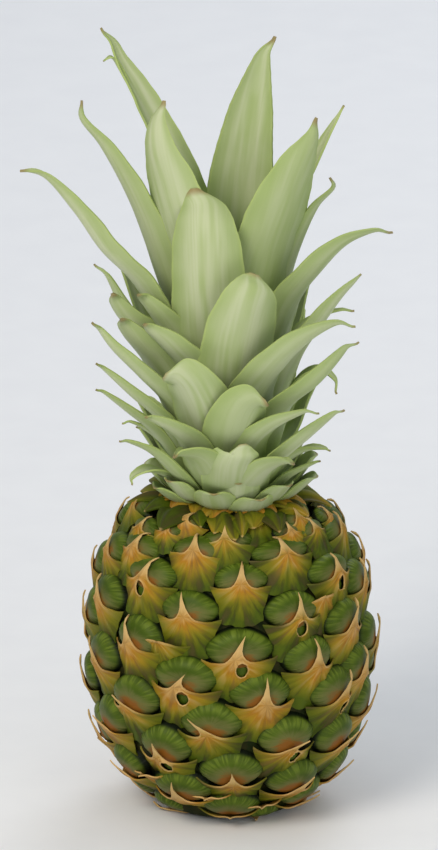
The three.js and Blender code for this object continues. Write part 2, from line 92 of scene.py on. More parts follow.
@dataclass
class Spline:
    """A centripetal curve through points, read by its share of arc length.

    Attributes:
        points: The points that it passes through.
        steps: How many samples it is measured with.
    """

    points: Sequence[Sequence[float]]
    steps: int = 400
    samples: Array = field(init=False)
    arc: Array = field(init=False)

    def __post_init__(self) -> None:
        """Samples the curve and adds up its length."""
        self.samples = np.array([self.point(i / self.steps) for i in range(self.steps + 1)])
        steps = np.linalg.norm(np.diff(self.samples, axis=0), axis=1)
        self.arc = np.concatenate([[0], np.cumsum(steps)])

    def point(self, at: float) -> Array:
        """The point at a share of the curve's own parameter."""
        pts = np.asarray(self.points, float)
        last = len(pts) - 1
        place = last * at
        index = min(int(place), last - 1)
        weight = place - index
        before = pts[index - 1] if index > 0 else 2 * pts[0] - pts[1]
        after = pts[index + 2] if index + 2 <= last else 2 * pts[last] - pts[last - 1]
        p1, p2 = pts[index], pts[index + 1]
        spans = ((before, p1), (p1, p2), (p2, after))
        d0, d1, d2 = (max(float(np.sum((a - b) ** 2)), 1e-12) ** 0.25 for a, b in spans)
        t1 = ((p1 - before) / d0 - (p2 - before) / (d0 + d1) + (p2 - p1) / d1) * d1
        t2 = ((p2 - p1) / d1 - (after - p1) / (d1 + d2) + (after - p2) / d2) * d1
        c2 = -3 * p1 + 3 * p2 - 2 * t1 - t2
        c3 = 2 * p1 - 2 * p2 + t1 + t2
        return p1 + t1 * weight + c2 * weight**2 + c3 * weight**3

    def at(self, share: Array) -> Array:
        """The points at these shares of the length."""
        length = np.asarray(share, float) * self.arc[-1]
        return np.stack([np.interp(length, self.arc, self.samples[:, k]) for k in range(3)], axis=-1)

    def tangent(self, share: Array) -> Array:
        """The directions of the curve at these shares of the length."""
        share = np.asarray(share, float)
        return unit(self.at(np.clip(share + 0.012, 0, 1)) - self.at(np.clip(share - 0.012, 0, 1)))


def select(*pieces: bpy.types.Object) -> None:
    """Selects these pieces alone, with the first one active, so that an operator acts on them."""
    if bpy.context.object and bpy.context.object.mode != "OBJECT":
        bpy.ops.object.mode_set(mode="OBJECT")
    bpy.ops.object.select_all(action="DESELECT")
    for piece in pieces:
        piece.select_set(True)
    if pieces:
        bpy.context.view_layer.objects.active = pieces[0]


def coordinates(obj: bpy.types.Object) -> Array:
    """The vertices of a mesh object."""
    flat = np.zeros(len(obj.data.vertices) * 3)
    obj.data.vertices.foreach_get("co", flat)
    return flat.reshape(-1, 3)


def place_vertices(obj: bpy.types.Object, points: Array) -> None:
    """Moves every vertex of a mesh object to its new point, in metres."""
    obj.data.vertices.foreach_set("co", np.asarray(points, float).ravel())
    obj.data.update()


def new_sheet(columns: int, rows: int) -> tuple[bpy.types.Object, Array, Array]:
    """A flat grid, with -1 to 1 from left to right and 0 to 1 from bottom to top over its vertices."""
    select()
    bpy.ops.mesh.primitive_grid_add(x_subdivisions=columns, y_subdivisions=rows, size=2)
    co = coordinates(bpy.context.object)
    return bpy.context.object, co[:, 0], (co[:, 1] + 1) / 2


def write_uv(obj: bpy.types.Object, name: str, across: Array, along: Array) -> None:
    """Writes a UV map from one pair of numbers for each vertex."""
    layer = obj.data.uv_layers.get(name) or obj.data.uv_layers.new(name=name)
    corner = np.zeros(len(obj.data.loops), int)
    obj.data.loops.foreach_get("vertex_index", corner)
    layer.data.foreach_set("uv", np.stack([across[corner], along[corner]], axis=-1).ravel())


def write_tone(obj: bpy.types.Object, name: str, value: float) -> None:
    """Gives every vertex the same number under a name that the materials read."""
    layer = obj.data.attributes.get(name) or obj.data.attributes.new(name, "FLOAT", "POINT")
    layer.data.foreach_set("value", np.full(len(obj.data.vertices), value))


def copy_of(master: bpy.types.Object, name: str) -> bpy.types.Object:
    """A copy of a modelled piece with its own mesh."""
    piece = master.copy()
    piece.data = master.data.copy()
    piece.name = name
    bpy.context.scene.collection.objects.link(piece)
    return piece


def join(pieces: list[bpy.types.Object], name: str) -> bpy.types.Object:
    """Joins pieces into one object."""
    select(*pieces)
    if len(pieces) > 1:
        bpy.ops.object.join()
    pieces[0].name = name
    pieces[0].data.name = name
    return pieces[0]


def thicken(obj: bpy.types.Object, thickness: float, offset: float = 0.0) -> None:
    """Gives an open sheet a thickness in millimetres and closes its rim."""
    select(obj)
    solidify = obj.modifiers.new("wall", "SOLIDIFY")
    solidify.thickness = thickness * MM
    solidify.offset = offset
    bpy.ops.object.modifier_apply(modifier=solidify.name)


def smooth(obj: bpy.types.Object, degrees: float = 40) -> None:
    """Shades a piece smooth, apart from edges sharper than the angle."""
    select(obj)
    bpy.ops.object.shade_smooth_by_angle(angle=math.radians(degrees))


def dress(obj: bpy.types.Object, material: bpy.types.Material, slot: str, *nodes: str) -> None:
    """Gives a finished piece its material and its body, and hides the CAD nodes that it stands for."""
    obj.data.materials.clear()
    obj.data.materials.append(material)
    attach(obj, BODY)
    if nodes:
        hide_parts(*nodes)


# Finishes
@dataclass
class Nodes:
    """A new material's nodes, with a short word for each kind that the finishes use.

    Attributes:
        name: The material's name.
    """

    name: str

    def __post_init__(self) -> None:
        """Makes the material with an empty tree."""
        self.material = bpy.data.materials.new(self.name)
        self.material.use_nodes = True
        self.tree = self.material.node_tree
        self.tree.nodes.clear()

    def add(
        self, kind: str, inputs: dict[int | str, object] | None = None, **settings: object
    ) -> bpy.types.Node:
        """Adds one node with its settings, values and links.

        Args:
            kind: The node's type after "ShaderNode", such as "Math".
            inputs: For each input, a socket to link, a hex colour or a value.
            settings: The node's own properties.

        Returns:
            The new node.
        """
        node = self.tree.nodes.new("ShaderNode" + kind)
        for name, value in settings.items():
            setattr(node, name, value)
        for key, value in (inputs or {}).items():
            if isinstance(value, bpy.types.NodeSocket):
                self.tree.links.new(value, node.inputs[key])
            else:
                node.inputs[key].default_value = linear(value) if isinstance(value, str) else value
        return node

    def uv(self, name: str) -> object:
        """A UV map."""
        return self.add("UVMap", uv_map=name).outputs[0]

    def tone(self, name: str) -> object:
        """A number that write_tone gave to the piece."""
        return self.add("Attribute", attribute_name=name).outputs["Fac"]

    def place(self) -> object:
        """The place in the object, in metres."""
        return self.add("TexCoord").outputs["Object"]

    def split(self, vector: object) -> tuple[object, object]:
        """The first two parts of a vector."""
        parts = self.add("SeparateXYZ", {0: vector}).outputs
        return parts[0], parts[1]

    def vector(self, x: object, y: object, z: object) -> object:
        """A vector from its parts."""
        return self.add("CombineXYZ", {0: x, 1: y, 2: z}).outputs[0]

    def noise(
        self, vector: object, scale: float = 1.0, detail: float = 2.0, spread: Row | None = None
    ) -> object:
        """Noise over a vector, whose parts are first multiplied by a factor each."""
        if spread:
            vector = self.add("Mapping", {0: vector, 3: spread}).outputs[0]
        return self.add("TexNoise", {"Vector": vector, "Scale": scale, "Detail": detail}).outputs[0]

    def calc(self, operation: str, first: object, second: object = 0.0) -> object:
        """The result of an operation on one or two values."""
        return self.add("Math", {0: first, 1: second}, operation=operation).outputs[0]

    def plus(self, first: object, second: object) -> object:
        """The sum of two values."""
        return self.calc("ADD", first, second)

    def minus(self, first: object, second: object) -> object:
        """The difference of two values."""
        return self.calc("SUBTRACT", first, second)

    def times(self, first: object, second: object) -> object:
        """The product of two values."""
        return self.calc("MULTIPLY", first, second)

    def square(self, value: object) -> object:
        """The square of a value."""
        return self.calc("POWER", self.calc("ABSOLUTE", value), 2.0)

    def centred(self, value: object, factor: float) -> object:
        """How far a value is from 0.5, times a factor."""
        return self.times(self.minus(value, 0.5), factor)

    def remap(self, value: object, low: float, high: float, to_low: float = 0, to_high: float = 1) -> object:
        """A value eased from one range to another."""
        inputs = {0: value, 1: low, 2: high, 3: to_low, 4: to_high}
        return self.add("MapRange", inputs, interpolation_type="SMOOTHSTEP").outputs[0]

    def mix(self, share: object, first: object, second: object) -> object:
        """Two colours mixed by a share."""
        inputs = {0: share, 6: first, 7: second}
        return self.add("Mix", inputs, data_type="RGBA", clamp_factor=True).outputs[2]

    def ramp(self, value: object, stops: Sequence[tuple[float, str]]) -> object:
        """A colour ramp from its places and colours."""
        node = self.add("ValToRGB", {0: value})
        elements = node.color_ramp.elements
        while len(elements) < len(stops):
            elements.new(1.0)
        for element, (place, colour) in zip(elements, stops):
            element.position = place
            element.color = linear(colour)
        return node.outputs[0]

    def finish(
        self, colour: object, roughness: float, height: object, depth: float, **sockets: float
    ) -> bpy.types.Material:
        """Ends the material: a principled surface with its colour, roughness and relief.

        Args:
            colour: Socket of the colour.
            roughness: The roughness.
            height: Socket of the relief from 0 to 1.
            depth: Full height of the relief in millimetres.
            sockets: Values of other sockets, with _ for a space.

        Returns:
            The finished material.
        """
        bump = self.add("Bump", {"Strength": 1.0, "Distance": depth * MM, "Height": height})
        values = {"Base Color": colour, "Roughness": roughness, "Normal": bump.outputs[0]}
        values.update({key.replace("_", " "): value for key, value in sockets.items()})
        shader = self.add("BsdfPrincipled", values)
        self.add("OutputMaterial", {"Surface": shader.outputs[0]})
        return self.material


@dataclass(frozen=True)
class LeafWax:
    """Bromeliad leaf: a tough green blade under a pale waxy bloom, so it looks matt and greyish.

    Attributes:
        name: The material's name.
        bloom: Colour of the bloom on the open blade.
        green: Colour of the streaks and of the younger tissue.
        root: Colour of the leaf's foot: painted shade where the leaves crowd, and fresher tissue without
            bloom.
        margin: Colour of the thin edge.
        dry: Colour of the dried tip.
    """

    name: str = "waxy_bromeliad_leaf"
    bloom: str = "#b7bf9b"
    green: str = "#8ea35c"
    root: str = "#83994c"
    margin: str = "#a2b36b"
    dry: str = "#8f8257"

    def make(self) -> bpy.types.Material:
        """Builds the material."""
        nodes = Nodes(self.name)
        across, along = nodes.split(nodes.uv("blade"))
        grain = nodes.uv("grain")
        # Fine veins and broader stripes of bloom run lengthwise; the grain map is in millimetres.
        fine = nodes.noise(grain, detail=3.0, spread=(0.85, 0.012, 1))
        wide = nodes.noise(grain, spread=(0.2, 0.016, 1))
        patch = nodes.noise(grain, 0.035)
        colour = nodes.mix(nodes.remap(wide, 0.3, 0.64, 0.3, 1), self.green, self.bloom)
        colour = nodes.mix(nodes.remap(fine, 0.5, 0.75, 0, 0.25), colour, self.green)
        colour = nodes.mix(nodes.remap(patch, 0.4, 0.7, 0, 0.45), colour, self.bloom)
        # The foot of each leaf is darker: painted shade where the leaves crowd round the stem, and fresher
        # tissue where the bloom never forms.
        colour = nodes.mix(nodes.remap(along, 0.1, 0.6, 0.8, 0), colour, self.root)
        colour = nodes.mix(nodes.times(nodes.tone("tone"), 0.4), colour, self.green)
        # The bloom is rubbed off towards the margins.
        offset = nodes.calc("ABSOLUTE", nodes.minus(across, 0.5))
        rubbed = nodes.plus(offset, nodes.centred(wide, 0.5))
        colour = nodes.mix(nodes.remap(rubbed, 0.24, 0.44, 0, 0.6), colour, self.green)
        colour = nodes.mix(nodes.remap(offset, 0.455, 0.495, 0, 0.75), colour, self.margin)
        tip = nodes.plus(along, nodes.times(nodes.tone("dry"), 0.02))
        colour = nodes.mix(nodes.remap(tip, 0.975, 1.01), colour, self.dry)
        return nodes.finish(colour, 0.5, fine, 0.1, Specular_IOR_Level=0.3, IOR=1.42)


@dataclass(frozen=True)
class EyeRind:
    """Pineapple rind: the hard green dome of one eye, smooth and a little shiny, ribbed towards its edge.

    Attributes:
        name: The material's name.
        rim: Colour of the painted shade at the dome's edge, where it sinks into the groove.
        dark_blotch_and_valley_shade: Colour of the dome's darker blotches, and of the painted shade in the
            ribs' valleys.
        green: Colour of the dome.
        light: Colour of the painted highlight ring, brighter on the dome's upper side and on the ribs.
        ripe: Colour of the ripened middle.
        grey: Colour round the ripened middle.
    """

    name: str = "ripening_pineapple_rind"
    rim: str = "#10170a"
    dark_blotch_and_valley_shade: str = "#30410a"
    green: str = "#44580f"
    light: str = "#647524"
    ripe: str = "#7c4c16"
    grey: str = "#6e6840"

    def make(self) -> bpy.types.Material:
        """Builds the material."""
        nodes = Nodes(self.name)
        uv = nodes.uv("eye")
        tone = nodes.tone("tone")
        x, y = nodes.split(uv)
        radius = nodes.add("VectorMath", {0: uv}, operation="LENGTH").outputs["Value"]
        angle = nodes.calc("ARCTAN2", y, x)
        # Ribs run in from the rim; the tone gives each eye its own.
        ribs = nodes.noise(nodes.vector(angle, radius, tone), spread=(7.0, 1.2, 30))
        blotch = nodes.noise(nodes.vector(x, y, nodes.times(tone, 40.0)), 1.6, 3.0)
        rib = nodes.remap(ribs, 0.38, 0.62)
        colour = nodes.mix(nodes.remap(blotch, 0.3, 0.7, 0.45, 1), self.dark_blotch_and_valley_shade, self.green)
        # Painted highlight: a ring on the dome, brighter towards its upper side and on the ribs' crests.
        ring = nodes.times(nodes.remap(radius, 0.42, 0.7), nodes.remap(radius, 0.95, 0.78))
        high = nodes.times(ring, nodes.remap(y, -0.4, 0.8, 0.1, 0.8))
        colour = nodes.mix(nodes.times(high, nodes.remap(rib, 0, 1, 0.35, 1)), colour, self.light)
        # Painted shade in the ribs' valleys, towards the rim.
        rib_reach = nodes.remap(radius, 0.5, 0.85)
        shade = nodes.times(nodes.minus(1.0, rib), rib_reach)
        colour = nodes.mix(nodes.times(shade, 0.5), colour, self.dark_blotch_and_valley_shade)
        # The middle ripens first: a grey-brown ring, and inside it orange-brown low under the spine.
        tall = nodes.times(nodes.square(nodes.plus(y, 0.42)), 1.3)
        wide = nodes.times(nodes.square(x), 1.2)
        broken = nodes.plus(nodes.calc("SQRT", nodes.plus(wide, tall)), nodes.centred(blotch, -0.7))
        broken = nodes.minus(broken, nodes.times(nodes.tone("low"), 0.16))
        broken = nodes.minus(broken, nodes.centred(rib, 0.12))
        colour = nodes.mix(nodes.remap(broken, 1.0, 0.42, 0, 0.62), colour, self.grey)
        colour = nodes.mix(nodes.remap(broken, 0.52, 0.2, 0, 0.95), colour, self.ripe)
        # Painted shade at the dome's edge, where it sinks into the groove.
        colour = nodes.mix(nodes.remap(radius, 0.83, 0.94), colour, self.rim)
        relief = nodes.times(rib, rib_reach)
        return nodes.finish(colour, 0.45, relief, 0.22, Specular_IOR_Level=0.16, IOR=1.4)


@dataclass(frozen=True)
class BractFibre:
    """Dried bract: a thin fibrous scale, tan and orange round the spine's foot, green where it is tucked in.

    Attributes:
        name: The material's name.
        cream: Colour of the dry spine and of the edge beside it.
        tan: Colour where the spine leaves the wings.
        orange: Colour of the ripened upper part.
        ochre: Colour of the middle.
        olive: Colour of the wings.
        green: Colour of the lower end.
        fold_shade: Colour of the painted shade in the folds of the tucked part.
        brown: Colour of the dark streaks.
    """

    name: str = "fibrous_pineapple_bract"
    cream: str = "#c8a870"
    tan: str = "#b48b4a"
    orange: str = "#a3721e"
    ochre: str = "#94771c"
    olive: str = "#6f6c12"
    green: str = "#46540c"
    fold_shade: str = "#26330a"
    brown: str = "#54402a"

    def make(self) -> bpy.types.Material:
        """Builds the material."""
        nodes = Nodes(self.name)
        x, y = nodes.split(nodes.uv("eye"))
        _, edge = nodes.split(nodes.uv("sheet"))
        tone = nodes.tone("tone")
        # Fibres fan down from the foot of the spine; the tone gives each bract its own.
        place = nodes.vector(nodes.calc("ARCTAN2", x, nodes.minus(0.12, y)), y, tone)
        fibre = nodes.noise(place, detail=3.0, spread=(3.6, 0.8, 30))
        broad = nodes.noise(place, detail=1.0, spread=(1.7, 0.6, 50))
        # How far from the spine's foot, with the wings counted less than the tucked end.
        away = nodes.calc("SQRT", nodes.plus(nodes.times(nodes.square(x), 0.5), nodes.square(y)))
        away = nodes.plus(away, nodes.centred(broad, 0.9))
        away = nodes.plus(away, nodes.centred(fibre, 0.4))
        away = nodes.minus(away, nodes.times(nodes.tone("low"), 0.22))
        away = nodes.plus(away, nodes.centred(tone, 0.5))
        share = nodes.add("MapRange", {0: away, 1: -0.2, 2: 1.4}).outputs[0]
        upper = [(0.08, self.tan), (0.2, self.orange), (0.36, self.ochre)]
        colour = nodes.ramp(share, upper + [(0.56, self.olive), (0.86, self.green)])
        # The tucked part is pleated; painted shade darkens its folds, more towards the tucked end.
        painted_fold_shade = nodes.times(nodes.remap(fibre, 0.58, 0.4), nodes.remap(away, 0.3, 1.0, 0, 0.75))
        colour = nodes.mix(painted_fold_shade, colour, self.fold_shade)
        colour = nodes.mix(nodes.remap(fibre, 0.52, 0.3, 0, 0.5), colour, self.brown)
        pale = nodes.times(nodes.remap(fibre, 0.52, 0.7, 0, 0.35), nodes.remap(away, 1.0, 0.2))
        colour = nodes.mix(pale, colour, self.cream)
        # The spine dries to cream from its foot up; the edge beside it is cream too.
        colour = nodes.mix(nodes.remap(y, 0.0, 0.5, 0, 0.85), colour, self.cream)
        near = nodes.remap(nodes.calc("ABSOLUTE", x), 0.9, 0.25, 0.05, 0.6)
        colour = nodes.mix(nodes.times(nodes.remap(edge, 0.94, 0.995), near), colour, self.cream)
        return nodes.finish(colour, 0.55, fibre, 0.3, Specular_IOR_Level=0.14, IOR=1.42)


@dataclass(frozen=True)
class GrooveShadeRind:
    """Rind between the eyes: near-black green-brown, painted shade at the bottom of the grooves."""

    name: str = "groove_rind_painted_shade"
    dark: str = "#1a2408"
    brown: str = "#2c2a10"

    def make(self) -> bpy.types.Material:
        """Builds the material: painted shade, in blotches about 6 mm across."""
        nodes = Nodes(self.name)
        noise = nodes.noise(nodes.place(), 160.0, 3.0)
        colour = nodes.mix(nodes.remap(noise, 0.35, 0.65), self.dark, self.brown)
        return nodes.finish(colour, 0.7, noise, 0.4, Specular_IOR_Level=0.1)


@dataclass(frozen=True)
class CutFibre:
    """Cut stem: pale woody fibre ends round a firmer core, dried to tan."""

    name: str = "dried_cut_stem"
    pale: str = "#cdb383"
    dark: str = "#7d5f36"

    def make(self) -> bpy.types.Material:
        """Builds the material, with fibre ends about 1 mm across."""
        nodes = Nodes(self.name)
        place = nodes.place()
        cells = nodes.add("TexVoronoi", {"Vector": place, "Scale": 900.0}).outputs[0]
        noise = nodes.noise(place, 120.0, 4.0)
        colour = nodes.mix(nodes.remap(noise, 0.35, 0.7), self.dark, self.pale)
        colour = nodes.mix(nodes.remap(cells, 0.45, 0.1, 0, 0.6), colour, self.dark)
        return nodes.finish(colour, 0.85, cells, 0.4)


@dataclass(frozen=True)
class StudioPaper:
    """Matt studio paper: an even pale sheet with a faint tooth."""

    name: str = "studio_paper"
    pale: str = "#eef0f2"
    shade: str = "#e8eaed"

    def make(self) -> bpy.types.Material:
        """Builds the material."""
        nodes = Nodes(self.name)
        noise = nodes.noise(nodes.place(), 40.0)
        return nodes.finish(nodes.mix(noise, self.pale, self.shade), 0.9, noise, 0.02)


# Fruit
@dataclass
class FruitForm:
    """The fruit's profile and the golden-angle spiral of its eyes.

    Attributes:
        profile: [height, radius] over the tops of the eyes.
        eye_area: Area of one eye at the waist.
        phase: Azimuth of the spiral at the middle height.
        start: Of an eye from the middle height to the next eye.
    """

    profile: tuple[Row, ...] = (
        (0, 9), (0, 17), (0.3, 26), (3, 34), (12, 44.8), (26, 54.6), (44, 61.2), (64, 64.3), (86, 64.3),
        (106, 61), (122, 55), (134, 46.5), (141.3, 36), (140.8, 27), (138, 18), (137, 9),
    )
    middle: float = 70
    eye_area: float = 656
    area_fall: float = 0.37
    end_area: float = 88
    phase: float = 272.4
    start: float = 0.74

    def __post_init__(self) -> None:
        """Measures the profile by arc length and counts the eyes along it."""
        curve = Spline([(radius, height, 0) for height, radius in self.profile], 900)
        self.radius = curve.samples[:, 0]
        self.height = np.maximum(0, curve.samples[:, 1])
        self.arc = curve.arc
        rim = np.nonzero((self.radius < 25.5) & (curve.samples[:, 1] < 2))[0][-1]
        top = np.nonzero((self.radius > 26) & (curve.samples[:, 1] > 100))[0][-1]
        away = (self.height - self.middle) / self.middle
        self.area = self.eye_area * (1 - self.area_fall * away**2)
        self.area[:rim] = self.end_area
        self.area[top + 1 :] = self.end_area
        rings = np.pi * (self.radius[1:] + self.radius[:-1]) * np.diff(self.arc)
        eyes = np.concatenate([[0], np.cumsum(rings / self.area[1:])])
        self.eyes = eyes - eyes[np.argmax(self.height >= self.middle)]
        slope = np.unwrap(np.arctan2(np.gradient(self.height), np.gradient(self.radius)))
        self.slope = np.convolve(np.pad(slope, 12, mode="edge"), np.ones(25) / 25, mode="valid")

    def read(self, key: str, arc: Array | float) -> Array | float:
        """One of the profile's measures at an arc length."""
        return np.interp(arc, self.arc, getattr(self, key))

    def lay(self, arc: float, azimuth: float, across: Array, up: Array, out: Array) -> Array:
        """Lays local points on the fruit, following its curve.

        Args:
            arc: Arc length of the place's middle.
            azimuth: Azimuth of the place's middle.
            across: Millimetres to the right along the skin.
            up: Millimetres up along the skin.
            out: Millimetres out from the profile.

        Returns:
            The points in metres.
        """
        here = arc + up
        radius = self.read("radius", here)
        slope = self.read("slope", here)
        turn = across / np.maximum(radius, 14)
        ring = np.maximum(radius + out * np.sin(slope), 0.5)
        height = np.maximum(self.read("height", here) - out * np.cos(slope), 0)
        points = azimuth_direction(azimuth + np.degrees(turn)) * ring[:, None]
        points[:, 2] = height
        return points * MM


class Window(Enum):
    """Where a bract has torn open, seen from outside."""

    NONE = 0.0
    MIDDLE = 0.4
    RIGHT = 4.0
    LEFT = -4.0


@dataclass
class Eye:
    """One eye of the fruit, in millimetres along the skin.

    Attributes:
        arc: Arc length of its middle, up from the base's centre.
        azimuth: Azimuth of its middle.
        size: Its scale, from the area that it has.
        edge: Where the bract's wings lie, up from the middle.
        width: Width of the dome.
        foot: How far right the spine's foot lies.
        tip: How far right and up the spine's tip lies.
        window: Where the bract is torn.
        domed: Whether it has a dome and a spine, or is squeezed to a bare scale.
    """

    arc: float
    azimuth: float
    size: float
    edge: float
    width: float = EYE_WIDTH
    foot: float = 0.0
    tip: tuple[float, float] = (0.0, 6.5)
    window: Window = Window.NONE
    domed: bool = True

    def window_centre(self) -> Array:
        """Where the middle of the bract's window lies."""
        return np.array([self.foot + self.window.value * 0.8, self.edge - 3.8])


@dataclass
class Fruit:
    """The fruit: a dark grooved rind, a dome for each eye and the bract under each dome."""

    form: FruitForm = field(default_factory=FruitForm)
    rise: float = 5.2
    top: float = 8.0
    seed: int = 11
    # Eyes placed after the photo: number, shift across and up, width, foot, tip across and up, window.
    seen: tuple = (
        (39, 4, 7, 25, -0.5, -1.5, 7.5, Window.NONE),
        (34, -4, 1, 25.5, -0.5, 1, 7.5, Window.NONE),
        (42, 0, -0.5, 30, 0, -2.5, 8, Window.NONE),
        (37, -6, -7, 30, 1, 0.5, 6, Window.MIDDLE),
        (44, 1, -6, 26, -1, 3, 7, Window.NONE),
        (31, 2, 4, 29, -2, 3.5, 6.5, Window.MIDDLE),
        (26, -8, -1, 28, -1, -3.5, 5.5, Window.NONE),
        (21, 7.5, 5, 28, 1.5, 2, 5.5, Window.MIDDLE),
        (16, 4, 2, 28.5, -0.5, 7.5, 5, Window.NONE),
        (23, -4.5, 0, 28, -1.5, -5, 5, Window.NONE),
        (10, 10, 8, 27, -3, -5.5, 6, Window.NONE),
        (13, 2.5, 2, 32, -2.5, 2.5, 4.5, Window.RIGHT),
        (8, 1, 3, 27, 2.5, 1, 6, Window.NONE),
        (11, -5, -5, 26, 1, 5, 4, Window.NONE),
        (2, 6, 6, 26, 0, -4, 4, Window.NONE),
        (5, -0.5, 1, 31.5, -3.5, 2, 0.5, Window.RIGHT),
        (0, -1.5, 2, 29.5, 1.5, 2, 5.5, Window.NONE),
        (-5, 1.5, 6, 29, 4.5, 8.5, 4, Window.MIDDLE),
        (-3, -6, 0, 29, -2.5, -8.5, -3, Window.NONE),
        (-8, -2, 1, 29.5, -1.5, -10, 0.5, Window.NONE),
        (-13, -1, 0, 28.5, 0, 7.5, -3, Window.RIGHT),
        (-11, -3.5, -2, 25, -4, -8, -4, Window.NONE),
        (-16, -4.5, -0.5, 27.5, -2, -2, 1, Window.RIGHT),
        (-18, -4.5, 2.5, 27.5, 3, 8, -2, Window.NONE),
        (-21, -6, -4, 30, 1, 0, 0.5, Window.NONE),
        (-32, 4.5, 8, 24, -4, -8, -3, Window.NONE),
        (-26, -4, -4.5, 28.5, 2, 6, 0.5, Window.NONE),
        (-37, 6, 9.5, 30.5, -3, -1.5, 4, Window.NONE),
        (-31, 3, 0, 28, 0, 3, 1, Window.NONE),
        (-42, 1, 5, 28, 0, 0, -4, Window.NONE),
        (24, 2, 3, 27, 0, 4, 5, Window.NONE),
        (45, -2, -5, 28, 0, 4, 5, Window.NONE),
    )
    # Small eyes that fill the shoulder: height, azimuth, scale.
    young: tuple[Row, ...] = (
        (137, -60, 0.62), (139, -40, 0.5), (137, 56, 0.62), (139, 38, 0.5), (138, 78, 0.5),
    )
    # Eyes that are squeezed to a bare scale between their neighbours.
    squeezed: tuple[int, ...] = (29, 18, -29, -34, -24)

    def eyes(self) -> list[Eye]:
        """Every eye of the fruit, from the base up."""
        form = self.form
        rng = random.Random(self.seed)
        seen = {row[0]: row[1:] for row in self.seen}
        eyes = []
        for number in range(math.ceil(form.eyes[0] - form.start), math.floor(form.eyes[-1] - form.start) + 1):
            place = number + form.start
            arc = float(np.interp(place, form.eyes, form.arc))
            height, area = form.read("height", arc), form.read("area", arc)
            draws = [rng.random() for _ in range(6)]
            if height < 2.5 or area < form.end_area * 1.5:
                continue
            azimuth = form.phase + place * GOLDEN_ANGLE
            size = math.sqrt(area / form.eye_area)
            edge = float(np.interp(height, [10, 25, 60, 110, 135], [-12.5, -11.4, -8.6, -7.6, -5.6]))
            eye = Eye(arc, azimuth, size, edge, domed=number not in self.squeezed)
            if number in seen:
                across, up, width, foot, tip_across, tip_up, window = seen[number]
                eye.azimuth += math.degrees(across / form.read("radius", arc))
                eye.arc += up
                eye.width, eye.foot, eye.window = width / size, foot, window
                eye.tip = (tip_across, tip_up)
            else:
                low = float(np.interp(height, [15, 70], [1.0, 0.0]))
                eye.azimuth += (draws[0] - 0.5) * 3.0
                eye.arc += (draws[1] - 0.5) * 2.4
                eye.width = EYE_WIDTH + (draws[2] - 0.5) * 3
                eye.foot = (draws[3] - 0.5) * 4
                eye.tip = (eye.foot + (draws[4] - 0.5) * (8 + 10 * low), 6.4 - 5.0 * low - 3 * draws[5])
                if number % 7 == 2:
                    eye.window = (Window.RIGHT, Window.MIDDLE, Window.LEFT)[number % 3]
            eyes.append(eye)
        for height, azimuth, scale in self.young:
            arc = float(form.arc[int(np.argmax(np.array(form.read("height", form.arc)) > height))])
            edge = -5.6 / scale * 0.75
            eyes.append(Eye(arc, azimuth, scale, edge, tip=(rng.uniform(-2, 2), 6.0)))
        return eyes

    def rind(self) -> bpy.types.Object:
        """The tissue at the bottom of the grooves, turned from a sphere."""
        select()
        bpy.ops.mesh.primitive_uv_sphere_add(segments=96, ring_count=72, radius=1)
        obj = bpy.context.object
        co = coordinates(obj)
        share = np.arccos(np.clip(-co[:, 2], -1, 1)) / np.pi
        arc = share * self.form.arc[-1]
        radius = self.form.read("radius", arc)
        slope = self.form.read("slope", arc)
        depth = self.rise * 1.18 * smoothstep(0.5, 9, self.form.read("height", arc))
        level = unit(co * np.array([1, 1, 0]))
        pole = np.hypot(co[:, 0], co[:, 1]) < 1e-4
        ring = np.where(pole, 0, radius - depth * np.sin(slope))
        points = level * ring[:, None]
        points[:, 2] = np.maximum(self.form.read("height", arc) + depth * np.cos(slope), 0)
        place_vertices(obj, points * MM)
        obj.name = "groove_rind"
        return obj

    def dome_master(self) -> bpy.types.Object:
        """One eye's dome as a flat disc of rings, 1 across, ready to be raised."""
        select()
        bpy.ops.mesh.primitive_circle_add(vertices=56, radius=1, fill_type="NGON")
        obj = bpy.context.object
        bpy.ops.object.mode_set(mode="EDIT")
        bpy.ops.mesh.select_all(action="SELECT")
        for step in (0.025, 0.035, 0.05, 0.06, 0.08, 0.11, 0.13, 0.14, 0.14, 0.12):
            bpy.ops.mesh.inset(thickness=step)
        bpy.ops.mesh.poke()
        bpy.ops.object.mode_set(mode="OBJECT")
        co = coordinates(obj)
        write_uv(obj, "eye", co[:, 0], co[:, 1])
        return obj

    def dome_frame(self, eye: Eye) -> tuple[float, float, float]:
        """Where a dome's middle lies, and its half height and half width."""
        return (self.top + eye.edge - 5.5) / 2, (self.top - eye.edge + 5.5) / 2, eye.width / 2 * 1.08

    def dome_out(self, radius: Array) -> Array:
        """How far the dome stands out at a share of its half width."""
        return -0.5 * radius**2 - (self.rise + 0.7) * radius**4.5

    def lay(self, piece: bpy.types.Object, eye: Eye, across: Array, up: Array, out: Array) -> None:
        """Lays a piece on its eye, from the measures that it has on an eye of full size."""
        scaled = (across * eye.size, up * eye.size, out * eye.size)
        place_vertices(piece, self.form.lay(eye.arc, eye.azimuth, *scaled))

